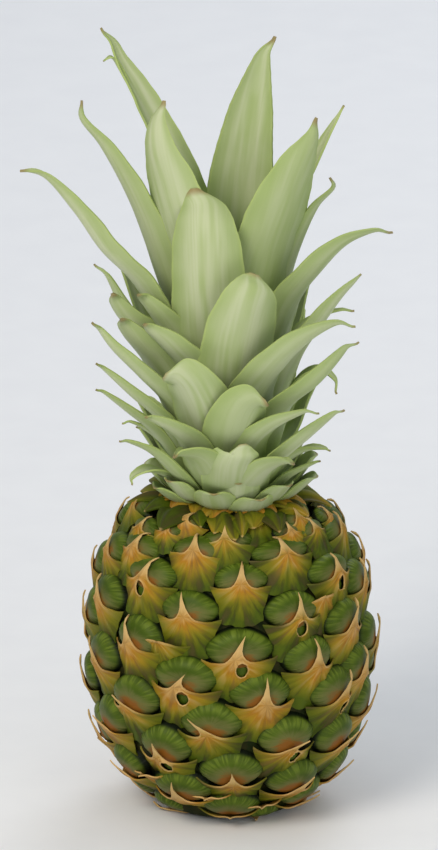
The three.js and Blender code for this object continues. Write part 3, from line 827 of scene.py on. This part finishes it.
    def domes(self, eyes: list[Eye]) -> bpy.types.Object:
        """Every eye's dome, laid on the fruit."""
        master = self.dome_master()
        flat = coordinates(master)
        radius = np.hypot(flat[:, 0], flat[:, 1])
        angle = np.arctan2(flat[:, 1], flat[:, 0])
        rng = random.Random(self.seed)
        pieces = []
        for eye in eyes:
            phase, uneven, tone = rng.uniform(0, 6), rng.uniform(-1, 1), rng.random()
            if not eye.domed:
                continue
            ribs = 0.12 * np.cos(angle * 23 + phase) + 0.09 * np.cos(angle * 37 + 2 * phase)
            ribs *= smoothstep(0.5, 0.85, radius) * smoothstep(1.0, 0.93, radius)
            dents = 0.3 * np.sin(2.3 * flat[:, 0] + phase) * np.cos(2.9 * flat[:, 1] + 2 * phase)
            middle, tall, half = self.dome_frame(eye)
            outline = 1 + 0.035 * np.cos(4 * angle) + 0.02 * uneven * np.cos(3 * angle + phase)
            across = flat[:, 0] * half * outline
            up = flat[:, 1] * tall * outline + middle
            piece = copy_of(master, "eye")
            self.lay(piece, eye, across, up, self.dome_out(radius) + ribs + dents)
            write_tone(piece, "tone", tone)
            write_tone(piece, "low", self.lowness(eye))
            pieces.append(piece)
            if eye.window is not Window.NONE:
                lens = copy_of(master, "lens")
                across, up = eye.window_centre()[:, None] + flat[:, :2].T * np.array([[4.2], [4.6]])
                # The lens closes the window from behind, with its rim deeper than its middle.
                out = -1.7 - 1.6 * radius**2
                write_uv(lens, "eye", flat[:, 0] * 0.3, 0.5 + flat[:, 1] * 0.2)
                self.lay(lens, eye, across, up, out)
                write_tone(lens, "tone", tone)
                write_tone(lens, "low", 0.0)
                pieces.append(lens)
        bpy.data.objects.remove(master)
        return join(pieces, "eye_domes")

    def lowness(self, eye: Eye) -> float:
        """1 for an eye near the base, 0 near the crown."""
        return float(np.interp(self.form.read("height", eye.arc), [25, 110], [1, 0]))

    def bracts(self, eyes: list[Eye]) -> bpy.types.Object:
        """The bract of every eye: two wings in the groove that run up into a spine."""
        master, side, row = new_sheet(22, 18)
        side = np.sign(side) * np.abs(side) ** 1.5
        rng = random.Random(self.seed + 1)
        pieces = []
        for eye in eyes:
            across, up, out = self.bract_shape(eye, side, row, rng)
            piece = copy_of(master, "bract")
            sheet_side, sheet_row = side, row
            if eye.window is not Window.NONE:
                shape = (across, up, out, side, row)
                across, up, out, sheet_side, sheet_row = self.cut_window(piece, eye, *shape)
            self.lay(piece, eye, across, up, out)
            write_uv(piece, "eye", (across - eye.foot) / 13, (up - eye.edge) / 13)
            write_uv(piece, "sheet", sheet_side, sheet_row)
            write_tone(piece, "tone", rng.random())
            write_tone(piece, "low", self.lowness(eye))
            thicken(piece, BRACT_THICKNESS)
            pieces.append(piece)
        bpy.data.objects.remove(master)
        return join(pieces, "bracts")

    def bract_shape(
        self, eye: Eye, side: Array, row: Array, rng: random.Random
    ) -> tuple[Array, Array, Array]:
        """Shapes one bract in its eye's own directions, in millimetres.

        Args:
            eye: The eye that it belongs to.
            side: -1 to 1 from the left wing to the right one.
            row: 0 at the tucked end to 1 at the edge.
            rng: Where its unevenness comes from.

        Returns:
            Across, up and out of every point.
        """
        away = np.abs(side)
        tip_across, tip_up = eye.tip if eye.domed else (0.0, eye.edge + 1.0)
        reach = tip_up - eye.edge
        tilt, phase = rng.uniform(-1.0, 1.0), rng.uniform(0, 6.3)
        curl = rng.uniform(0.1, 0.5) + float(np.interp(tip_up, [-2, 5], [0.5, 0]))
        line = np.interp(
            away, [0, 0.03, 0.065, 0.12, 0.2, 0.32, 0.5, 0.8, 1],
            [tip_up, eye.edge + 0.7 * reach, eye.edge + 0.48 * reach, eye.edge + 0.29 * reach,
             eye.edge + 0.12 * reach, eye.edge, eye.edge - 0.5, eye.edge - 0.2, eye.edge + 0.6],
        )
        line = line + tilt * side + 0.25 * np.sin(side * 11 + phase) * away
        foot = eye.edge - 21 + 3 * away + 0.6 * np.sin(side * 9 + phase)
        up = foot + (line - foot) * row
        below = eye.edge - up
        half = np.interp(below, [-2, 0, 2.5, 6, 11, 17, 21], [16.2, 16.0, 15.0, 13.4, 12.2, 11.6, 11.0])
        half = eye.width / EYE_WIDTH * half
        rise = np.clip(-below / max(reach, 1), 0, 1)
        across = side * half + eye.foot * (1 - away) ** 2 + (tip_across - eye.foot) * rise**1.5 * (away < 0.3)
        bed = np.interp(below, [-1.5, 0.5, 4, 9, 14, 21], [0.9, 0.5, -0.9, -2.5, -3.9, -5.2])
        middle, tall, half_dome = self.dome_frame(eye)
        dome = self.dome_out(np.clip(np.hypot(across / half_dome, (up - middle) / tall), 0, 0.95)) + 1.1
        bed += (dome - bed) * rise * (below < 0)
        sides = np.interp(below, [-2, 1, 6, 17], [4.6, 4.4, 2.8, 0.8])
        lift = float(np.interp(tip_up, [-4, 7], [2.6, 0.6])) * rng.uniform(0.5, 1.3)
        lip = curl * np.exp(-(((line - up) / 1.6) ** 2))
        lip = lip * smoothstep(0.1, 0.4, away) * smoothstep(1.0, 0.6, away)
        fan = np.arctan2(across - eye.foot, below + 4)
        folds = 0.4 * np.sin(fan * 9 + phase) + 0.25 * np.sin(fan * 17 + 2 * phase)
        folds = folds * smoothstep(1, 7, below)
        out = bed - sides * away**2 + lift * rise**1.6 + lip + folds - (0 if eye.domed else 1.2)
        out += 0.5 * np.exp(-((side / 0.09) ** 2)) * smoothstep(8, 0, below)
        return across, up, out

    def cut_window(
        self, piece: bpy.types.Object, eye: Eye, across: Array, up: Array, out: Array, side: Array, row: Array
    ) -> tuple[Array, ...]:
        """Opens a leaf-shaped window in a bract, with a raised edge.

        Args:
            piece: The bract, still a flat sheet.
            eye: The eye that it belongs to.
            across: Across of every point.
            up: Up of every point.
            out: Out of every point.
            side: -1 to 1 from the left wing to the right one.
            row: 0 at the tucked end to 1 at the edge.

        Returns:
            The same five measures of the points that stay. In the last one the window's edge counts
            as the bract's edge.
        """
        centre = eye.window_centre()
        radii = np.array([2.8, 3.8])
        offset = (np.stack([across, up], axis=-1) - centre) / radii
        near = np.linalg.norm(offset, axis=1)
        mesh = bmesh.new()
        mesh.from_mesh(piece.data)
        mesh.verts.ensure_lookup_table()
        inside = [f for f in mesh.faces if np.mean([near[v.index] for v in f.verts]) < 1]
        gone = {f.index for f in inside}
        kept = [v.index for v in mesh.verts if any(f.index not in gone for f in v.link_faces)]
        rim = {v.index for f in inside for v in f.verts}.intersection(kept)
        across, up, out, row = across.copy(), up.copy(), out.copy(), row.copy()
        for index in rim:
            snapped = centre + offset[index] / max(near[index], 1e-3) * radii
            across[index], up[index] = snapped
            out[index] += 0.8
            row[index] = 1.0
        bmesh.ops.delete(mesh, geom=inside, context="FACES")
        mesh.to_mesh(piece.data)
        mesh.free()
        return across[kept], up[kept], out[kept], side[kept], row[kept]

    def build(self) -> None:
        """Builds and dresses the fruit."""
        eyes = self.eyes()
        rind = self.rind()
        smooth(rind, 60)
        dress(rind, GrooveShadeRind().make(), "fruit_skin", "fruit")
        domes = self.domes(eyes)
        smooth(domes, 60)
        dress(domes, EyeRind().make(), "fruit_skin", "fruit")
        bracts = self.bracts(eyes)
        smooth(bracts, 50)
        fibre = BractFibre().make()
        dress(bracts, fibre, "fruit_skin", "fruit")
        ScaleRing("neck_scales", 30, (20.8, 142.6), (34.0, 140.6), 12.0, 0.3, -0.7, -0.1).build(fibre)
        ScaleRing("shoulder_scales", 23, (27.0, 140.6), (42.5, 138.8), 19.0, 2.4, -0.7, -0.8, 8).build(fibre)
        LOG.info("fruit: rind, %d eyes with bracts, two rings of scales", len(eyes))


@dataclass
class ScaleRing:
    """A ring of small bracts without eyes, round the neck or on the shoulder.

    Attributes:
        name: The piece's name.
        count: How many there are.
        root: Radius and height of the roots.
        tip: Radius and height of the tips.
        width: Full width of a scale.
        keel: How far its middle stands up.
        ripe: How far its root is from the ripe colour, in the bract's own measure.
        fade: The same for its tip.
        seed: Start of its random draws.
    """

    name: str
    count: int
    root: tuple[float, float]
    tip: tuple[float, float]
    width: float
    keel: float
    ripe: float
    fade: float = 0.0
    seed: int = 3

    def build(self, fibre: bpy.types.Material) -> None:
        """Models one scale from a sheet, and lays the copies round the axis."""
        master, side, row = new_sheet(16, 12)
        rng = random.Random(self.seed)
        pieces = []
        for number in range(self.count):
            azimuth = number * GOLDEN_ANGLE + rng.uniform(-9, 9)
            reach = self.tip[0] + rng.uniform(-3.5, 3.5)
            droop = self.tip[1] + rng.uniform(-1.0, 1.6) - max(0, reach - self.tip[0]) * 0.5
            half = self.width / 2 * rng.uniform(0.5, 1.25) * (1 - row) ** 0.8 * (1 + 0.6 * row) + 0.15
            radius = self.root[0] + (reach - self.root[0]) * row
            height = self.root[1] + (droop - self.root[1]) * row**1.7
            height = height + 2.2 * np.sin(np.pi * row) + 0.02 * number
            folds = 0.3 * np.sin(side * rng.uniform(6, 9) + rng.uniform(0, 6))
            ridge = self.keel * np.exp(-((side / 0.35) ** 2)) + folds - 0.9 * side**2
            height = height + ridge * (1 - row**2)
            twist = rng.uniform(-8, 8) * row**2
            direction = azimuth_direction(azimuth + twist)
            sideways = azimuth_direction(azimuth + 90)
            points = direction * radius[:, None] + sideways * (side * half)[:, None]
            points[:, 2] += height
            piece = copy_of(master, "scale")
            place_vertices(piece, points * MM)
            write_uv(piece, "eye", side * 0.5, self.ripe * (1 - row) + self.fade * rng.uniform(0.6, 1.4))
            write_uv(piece, "sheet", side, row)
            write_tone(piece, "tone", rng.random())
            write_tone(piece, "low", 0.6)
            thicken(piece, BRACT_THICKNESS)
            pieces.append(piece)
        bpy.data.objects.remove(master)
        scales = join(pieces, self.name)
        smooth(scales, 50)
        dress(scales, fibre, "fruit_skin", "fruit")


# Crown
class BladeForm(Enum):
    """How a leaf's width runs from its root to its tip."""

    OVATE = ((0, 0.72), (0.3, 0.94), (0.5, 1), (0.7, 0.9), (0.85, 0.6), (0.95, 0.3), (1, 0.04))
    LANCE = ((0, 0.9), (0.3, 1), (0.55, 0.86), (0.75, 0.6), (0.9, 0.26), (0.96, 0.1), (1, 0.02))
    POINTED = (
        (0, 0.72), (0.3, 0.94), (0.5, 1), (0.7, 0.88), (0.84, 0.56), (0.92, 0.24), (0.97, 0.08), (1, 0.02),
    )
    BLUNT = ((0, 0.72), (0.3, 0.94), (0.5, 1), (0.75, 0.92), (0.88, 0.74), (0.96, 0.46), (1, 0.1))

    def width(self, share: Array) -> Array:
        """The share of the full width at these shares of the length."""
        table = np.array(self.value, float)
        soft = np.linspace(0, 1, 201)
        rough = np.interp(soft, table[:, 0], table[:, 1])
        kernel = np.hanning(23)
        padded = np.pad(rough, 11, mode="reflect", reflect_type="odd")
        eased = np.convolve(padded, kernel / kernel.sum(), mode="valid")
        return np.maximum(np.interp(share, soft, eased), 0.03)


@dataclass
class LeafPlan:
    """One leaf: its middle line and its sizes.

    Attributes:
        azimuth: The way that its outer face looks.
        width: Its full width.
        cup: How much it is cupped.
        form: How its width runs.
        line: Its middle line from the root to the tip.
    """

    azimuth: float
    width: float
    cup: float
    form: BladeForm
    line: list[tuple[float, float, float]]


OVATE = BladeForm.OVATE
LANCE = BladeForm.LANCE
POINTED = BladeForm.POINTED
BLUNT = BladeForm.BLUNT


@dataclass
class Crown:
    """The crown: leaves in layers round a short stem."""

    stem_profile: tuple[Row, ...] = (
        (133.3, 0), (133.3, 17), (135, 20.2), (141, 20.2), (150, 20), (162, 18.5), (178, 15.5), (195, 11.5),
        (212, 7), (224, 3), (227, 0),
    )
    # Facing azimuth, height of the root, width, cup, form, and the middle line: across, seen height, depth.
    seen_leaves: tuple = (
        (10, 158, 33, 0.38, BLUNT, ((2, 189, -32), (5, 214, -41), (10, 234, -45), (14, 245, -43))),
        (-14, 178, 34, 0.42, BLUNT, ((-9, 209, -26), (-11, 242, -30), (-12, 267, -28), (-12, 285, -18))),
        (-35, 190, 42, 0.38, LANCE,
         ((-20, 256, -15), (-27.5, 284, -15), (-32.5, 307, -13), (-31, 326, -6))),
        (30, 187, 34, 0.36, POINTED,
         ((15.5, 246, -15), (23, 271.5, -17), (31.5, 296, -17), (40.5, 317, -11))),
        (174, 211, 32, 0.3, LANCE, ((3.5, 263, 6), (5.5, 292, 9), (10, 324, 11), (16.5, 356, 8))),
        (-142, 204, 20, 0.42, LANCE,
         ((-11, 256, 9), (-22.5, 291, 13), (-40, 329.5, 16), (-48.5, 345, 15), (-53.5, 361, 11))),
        (-60, 188, 28, 0.5, LANCE,
         ((-27, 234, -2), (-42, 276, -1), (-56, 303.5, 1), (-65.5, 317, 3), (-66, 327, 4))),
        (-62, 173, 26, 0.6, LANCE,
         ((-39.5, 237, -10), (-56, 255.5, -11), (-68, 273.5, -10), (-83, 290.5, -6), (-94, 291.5, -4))),
        (120, 200, 16, 0.5, LANCE, ((21, 262, 5), (37, 295, 6), (45.5, 313.5, 6), (50.5, 321.5, 4))),
        (62, 184, 19, 0.5, LANCE,
         ((24, 237, -3), (30.5, 258, -3), (38.5, 276, -2), (46, 285.5, -1), (44, 291.5, 0))),
        (44, 172, 25, 0.5, LANCE, ((25, 226.5, -14), (37, 244, -19), (51, 258.5, -19), (72, 267.5, -13))),
        (50, 163, 21, 0.55, LANCE, ((29, 204.5, -18), (39, 220, -22), (49.5, 235, -22), (58.5, 245, -18))),
        # Front.
        (-18, 153, 30, 0.4, BLUNT, ((-10, 171, -36), (-15, 186, -45), (-20, 195, -49), (-28, 201, -48))),
        (6, 148, 27, 0.42, BLUNT, ((1, 164, -38), (3, 174, -47), (8, 184, -53), (16, 188, -54))),
        (32, 160, 27, 0.5, LANCE,
         ((10, 186, -34), (20, 200.5, -43), (32, 212.5, -47), (43, 219.5, -47), (55, 224, -46))),
        # Right side.
        (42, 154, 21, 0.5, LANCE, ((22.5, 180, -30), (37, 193, -36), (47.5, 205.5, -36), (54.5, 216, -34))),
        (48, 147, 18, 0.5, LANCE, ((22, 157.5, -31), (34, 168.5, -36), (50, 183.5, -33))),
        (78, 154, 15, 0.5, LANCE, ((31, 194, -7), (40, 199.5, -8), (50, 191.5, -8))),
        (100, 163, 10, 0.5, LANCE, ((27, 214, 5), (40, 225, 6), (55, 229.5, 5))),
        # Left side.
        (-36, 160, 26, 0.45, OVATE, ((-18, 198, -28), (-27, 210, -33), (-40, 222, -33))),
        (-36, 170, 22, 0.5, OVATE, ((-27, 216, -18), (-34, 227, -21), (-42, 237, -21))),
        (-36, 167, 22, 0.5, OVATE, ((-34, 212, -9), (-46, 223.5, -11), (-54, 237, -11))),
        (-70, 164, 23, 0.5, LANCE, ((-35.5, 209, 3), (-46.5, 226, 4), (-52.5, 240, 4), (-57.5, 250.5, 3))),
        (-34, 160, 26, 0.45, OVATE, ((-32, 201, -21), (-43, 214.5, -25), (-50, 225.5, -26))),
        (-48, 153, 20, 0.5, LANCE,
         ((-26, 182.5, -27), (-38.5, 196.5, -33), (-52, 211, -34), (-60.5, 224.5, -32))),
        (-54, 149, 18, 0.5, LANCE, ((-30, 175.5, -23), (-43.5, 188.5, -28), (-60, 205, -28))),
        (-66, 147, 18, 0.5, LANCE, ((-32.5, 169.5, -13), (-46, 181.5, -16), (-59.5, 193, -15))),
    )
    short_leaves: tuple = (
        (22, 146, 19, 0.45, LANCE, ((9, 163, -37), (18, 173, -46), (38, 183, -52))),
        (-38, 150, 21, 0.45, OVATE, ((-17, 163, -34), (-25, 171, -41), (-39, 179, -44))),
        (3, 143, 27, 0.42, BLUNT, ((1, 147, -37), (2, 155, -46), (4, 161, -49), (3, 165, -46))),
        (-26, 145, 23, 0.42, BLUNT, ((-11, 152, -37), (-16, 159, -45), (-26, 161, -47))),
        (30, 143, 19, 0.45, BLUNT, ((11, 148, -36), (19, 155, -43), (28, 158, -45))),
        (50, 145, 15, 0.45, LANCE, ((26, 158, -16), (35, 163, -19), (45, 163.5, -19))),
        (-54, 143, 17, 0.45, LANCE, ((-25, 152, -25), (-36, 162.5, -30), (-49, 168.5, -29))),
        (-50, 143, 14, 0.4, LANCE, ((-27, 150, -14), (-36, 153, -18), (-42, 151, -20), (-45, 147.5, -20))),
        (-60, 146, 12, 0.4, LANCE, ((-29, 165, -8), (-39, 173.5, -10), (-47.5, 177.5, -9))),
        (50, 142, 12, 0.4, LANCE, ((26, 150, -16), (33, 154.5, -18), (40.5, 158.5, -18))),
    )
    # Azimuth, height of the root, width, reach from the axis, height of the tip.
    back_leaves: tuple[Row, ...] = (
        (158, 190, 19, 60, 268), (213, 184, 20, 60, 278), (128, 176, 16, 46, 238), (185, 172, 20, 74, 258),
        (240, 170, 14, 60, 250), (110, 158, 12, 44, 196), (152, 156, 16, 72, 212), (202, 155, 17, 76, 216),
        (256, 152, 12, 46, 190),
    )
    short_back_leaves: tuple[Row, ...] = (
        (114, 146, 14, 40, 170), (140, 146, 15, 54, 176), (180, 145, 17, 66, 176), (222, 146, 16, 56, 176),
        (258, 147, 14, 42, 172),
    )
    # The strip torn off the tallest left leaf: across, seen height, depth.
    torn_strip: tuple[Row, ...] = ((-45, 333, 15), (-48.5, 339.5, 15), (-52, 344.5, 13), (-55.5, 343, 11))
    root_cup: float = 0.22
    seed: int = 5

    def stem_radius(self, height: float) -> float:
        """The stem's radius at a height."""
        table = np.array(self.stem_profile[2:], float)
        return float(np.interp(height, table[:, 0], table[:, 1]))

    def root_point(self, azimuth: float, height: float) -> tuple[float, float, float]:
        """Where a leaf starts, just inside the stem."""
        x, y, _ = azimuth_direction(azimuth) * (self.stem_radius(height) - 2.5)
        return (float(x), float(y), height)

    def seen_plan(self, row: tuple) -> LeafPlan:
        """The plan of a leaf whose line was read from the front."""
        azimuth, root, width, cup, form, seen = row
        line = [self.root_point(azimuth, root)]
        line += [(across, depth, up - depth * SIGHT_FALL) for across, up, depth in seen]
        return LeafPlan(azimuth, width, cup, form, line)

    def back_plan(self, row: Row) -> LeafPlan:
        """The plan of a leaf on the back."""
        azimuth, root, width, reach, tip = row
        start = self.root_point(azimuth, root)
        stem = self.stem_radius(root)
        line = [start]
        for share, rise in ((0.45, 0.28), (0.72, 0.66), (1, 1)):
            x, y, _ = azimuth_direction(azimuth) * (stem + share * (reach - stem))
            line.append((float(x), float(y), root + rise * (tip - root)))
        return LeafPlan(azimuth, width, 0.45, LANCE, line)

    def collar_plans(self) -> list[LeafPlan]:
        """The small leaves of the collar, from the same simple random numbers as in the part's source."""
        state = 7
        draws = []
        for _ in range(45):
            state = (state * 1664525 + 1013904223) % 4294967296
            draws.append(state / 4294967296)
        plans = []
        for i in range(15):
            reach_draw, rise_draw, width_draw = draws[3 * i : 3 * i + 3]
            azimuth = 20 + i * GOLDEN_ANGLE
            height = 141.2 + i * 0.4
            out = azimuth_direction(azimuth)
            reach = 36 + reach_draw * 4
            rise = 8.5 + i * 0.4 + rise_draw * 3
            line = [
                (float(out[0] * r), float(out[1] * r), z)
                for r, z in ((15, height), (27, height + 1.4), (reach, height + rise))
            ]
            plans.append(LeafPlan(azimuth, 18 + width_draw * 4, 0.35, BLUNT, line))
        return plans

    def blade_master(self) -> tuple[bpy.types.Object, Array, Array]:
        """One leaf as a flat sheet, with its places across and along."""
        obj, across, along = new_sheet(14, 72)
        obj.data.uv_layers[0].name = "blade"
        write_uv(obj, "blade", (across + 1) / 2, along)
        return obj, across, along

    def shape_blade(
        self, plan: LeafPlan, across: Array, along: Array, rng: random.Random
    ) -> tuple[Array, Array, Array]:
        """Bends the flat sheet along a leaf's middle line.

        Args:
            plan: The leaf.
            across: -1 to 1 over the sheet.
            along: 0 to 1 from the root to the tip.
            rng: Where its waves come from.

        Returns:
            The points in metres, and the sheet's measures across and along in millimetres.
        """
        curve = Spline(plan.line)
        length = curve.arc[-1]
        centre = curve.at(along)
        tangent = curve.tangent(along)
        sideways = azimuth_direction(plan.azimuth + 90)
        side = unit(sideways - tangent * np.sum(sideways * tangent, axis=1, keepdims=True))
        outward = unit(np.cross(side, tangent))
        half = plan.width / 2 * plan.form.width(along)
        toothed = (np.round(along * length) % 3 == 0) & (np.abs(across) > 0.99)
        half_here = half + 0.12 * toothed * smoothstep(0.1, 0.3, along)
        cup = self.root_cup + (plan.cup - self.root_cup) * smoothstep(0.15, 0.7, along)
        waves = rng.uniform(14, 22)
        phase = rng.uniform(0, 6.3)
        swing = np.sin(along * length / waves * 6.28 + phase + 1.4 * np.sign(across))
        ripple = 0.022 * half * np.abs(across) ** 3 * swing
        shift = -cup * half * across**2 + ripple * smoothstep(0.25, 0.5, along)
        hook = smoothstep(0.9, 1.0, along)[:, None] ** 2 * min(1.0, length / 80)
        curled = side * rng.choice([-3.5, 3.5]) + outward * rng.uniform(0.5, 3.5) - tangent * 1.5
        points = centre + side * (across * half_here)[:, None] + outward * shift[:, None] + curled * hook
        return points * MM, across * half, along * length

    def leaf(self, plan: LeafPlan, name: str, thickness: float, rng: random.Random) -> bpy.types.Object:
        """One finished leaf from its plan."""
        master, across, along = self.master
        piece = copy_of(master, name)
        points, wide, long = self.shape_blade(plan, across, along, rng)
        place_vertices(piece, points)
        offset = rng.uniform(0, 900)
        write_uv(piece, "grain", wide + offset, long + offset)
        write_tone(piece, "tone", rng.random())
        write_tone(piece, "dry", rng.random())
        thicken(piece, thickness)
        smooth(piece, 55)
        return piece

    def stem(self) -> bpy.types.Object:
        """The stem in the middle of the crown, turned from a sphere."""
        select()
        bpy.ops.mesh.primitive_uv_sphere_add(segments=32, ring_count=24, radius=1)
        obj = bpy.context.object
        co = coordinates(obj)
        table = np.array(self.stem_profile, float)
        share = np.arccos(np.clip(-co[:, 2], -1, 1)) / np.pi
        place = share * (len(table) - 1)
        radius = np.interp(place, range(len(table)), table[:, 1])
        height = np.interp(place, range(len(table)), table[:, 0])
        points = unit(co * np.array([1, 1, 0])) * radius[:, None]
        points[:, 2] = height
        place_vertices(obj, points * MM)
        write_uv(obj, "blade", np.full(len(co), 0.5), share * 0.1)
        write_uv(obj, "grain", np.arctan2(co[:, 1], co[:, 0]) * 20, height)
        write_tone(obj, "tone", 0.5)
        write_tone(obj, "dry", 0.0)
        obj.name = "stem_core"
        return obj

    def build(self) -> None:
        """Builds and dresses the crown."""
        wax = LeafWax().make()
        self.master = self.blade_master()
        rng = random.Random(self.seed)
        plans = [self.seen_plan(row) for row in self.seen_leaves]
        plans += [self.back_plan(row) for row in self.back_leaves]
        for number, plan in enumerate(plans, 1):
            name = f"crown_leaf_{number:02d}"
            piece = self.leaf(plan, f"leaf_{number:02d}", 0.9, rng)
            dress(piece, wax, "leaf_green", name)
        strip = [(across, depth, up - depth * SIGHT_FALL) for across, up, depth in self.torn_strip]
        torn = self.leaf(LeafPlan(-60, 5, 0.5, LANCE, strip), "torn_strip", 0.6, rng)
        dress(torn, wax, "leaf_green", "crown_leaf_06")
        short = [self.seen_plan(row) for row in self.short_leaves]
        short += [self.back_plan(row) for row in self.short_back_leaves] + self.collar_plans()
        pieces = [self.stem()]
        pieces += [self.leaf(plan, f"short_leaf_{i:02d}", 0.8, rng) for i, plan in enumerate(short, 1)]
        for piece in pieces:
            dress(piece, wax, "young_leaf", "crown_stem")
        bpy.data.objects.remove(self.master[0])
        LOG.info("crown: %d long leaves, %d short ones", len(plans), len(short))


# Base and studio
@dataclass
class CutStem:
    """The cut end of the fruit's stem: the CAD solid keeps its shape."""

    node: str = "cut_stem"

    def build(self) -> None:
        """Dresses the stem."""
        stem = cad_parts[self.node]
        stem.data.materials.clear()
        stem.data.materials.append(CutFibre().make())
        LOG.info("cut stem dressed")


@dataclass
class Studio:
    """Pale floor, soft lights and the camera at the photograph's angle."""

    aim: tuple[float, float, float] = (-0.0048, 0.0, 0.1745)
    seen_height: float = 0.374
    lens: float = 800.0
    sensor: float = 36.0

    def camera(self) -> None:
        """Places the camera."""
        data = bpy.data.cameras.new("camera")
        data.lens = self.lens
        data.sensor_width = self.sensor
        data.dof.use_dof = False
        data.clip_end = 200
        distance = self.seen_height / self.sensor * self.lens
        up = math.radians(ELEVATION)
        obj = bpy.data.objects.new("camera", data)
        obj.location = Vector(self.aim) + distance * Vector((0, -math.cos(up), math.sin(up)))
        obj.rotation_euler = (math.pi / 2 - up, 0, 0)
        bpy.context.scene.collection.objects.link(obj)
        bpy.context.scene.camera = obj

    def lamp(self, name: str, place: Row, size: float, power: float, colour: str) -> None:
        """Adds one soft area light that looks at the object."""
        data = bpy.data.lights.new(name, "AREA")
        data.shape = "DISK"
        data.size = size
        data.energy = power
        data.color = linear(colour)[:3]
        obj = bpy.data.objects.new(name, data)
        obj.location = place
        obj.rotation_euler = (Vector((0, 0, 0.16)) - Vector(place)).to_track_quat("-Z", "Y").to_euler()
        bpy.context.scene.collection.objects.link(obj)

    def floor(self) -> None:
        """Lays the paper: a wide sheet that the object stands on."""
        select()
        bpy.ops.mesh.primitive_circle_add(vertices=96, radius=60, fill_type="NGON", location=(0, 0, -0.0005))
        obj = bpy.context.object
        obj.name = "studio_floor"
        obj.data.materials.append(StudioPaper().make())

    def build(self) -> None:
        """Sets up the studio."""
        self.camera()
        self.floor()
        self.lamp("key", (-0.75, -1.15, 1.25), 0.9, 17, "#fff6ea")
        self.lamp("fill", (0.9, -1.5, 0.3), 1.6, 11, "#fbf8f0")
        self.lamp("back", (0.5, 1.3, 1.3), 1.0, 9, "#f4f7ff")
        world = bpy.data.worlds.new("studio")
        bpy.context.scene.world = world
        world.use_nodes = True
        background = world.node_tree.nodes["Background"]
        background.inputs[0].default_value = linear("#eceff2")
        background.inputs[1].default_value = 0.56
        bpy.context.scene.view_settings.view_transform = "Standard"


def main() -> None:
    """Builds every piece in order and reports it."""
    logging.basicConfig(level=logging.INFO, format="%(name)s: %(message)s")
    Studio().build()
    Fruit().build()
    CutStem().build()
    Crown().build()


if __name__ == "__main__":
    main()
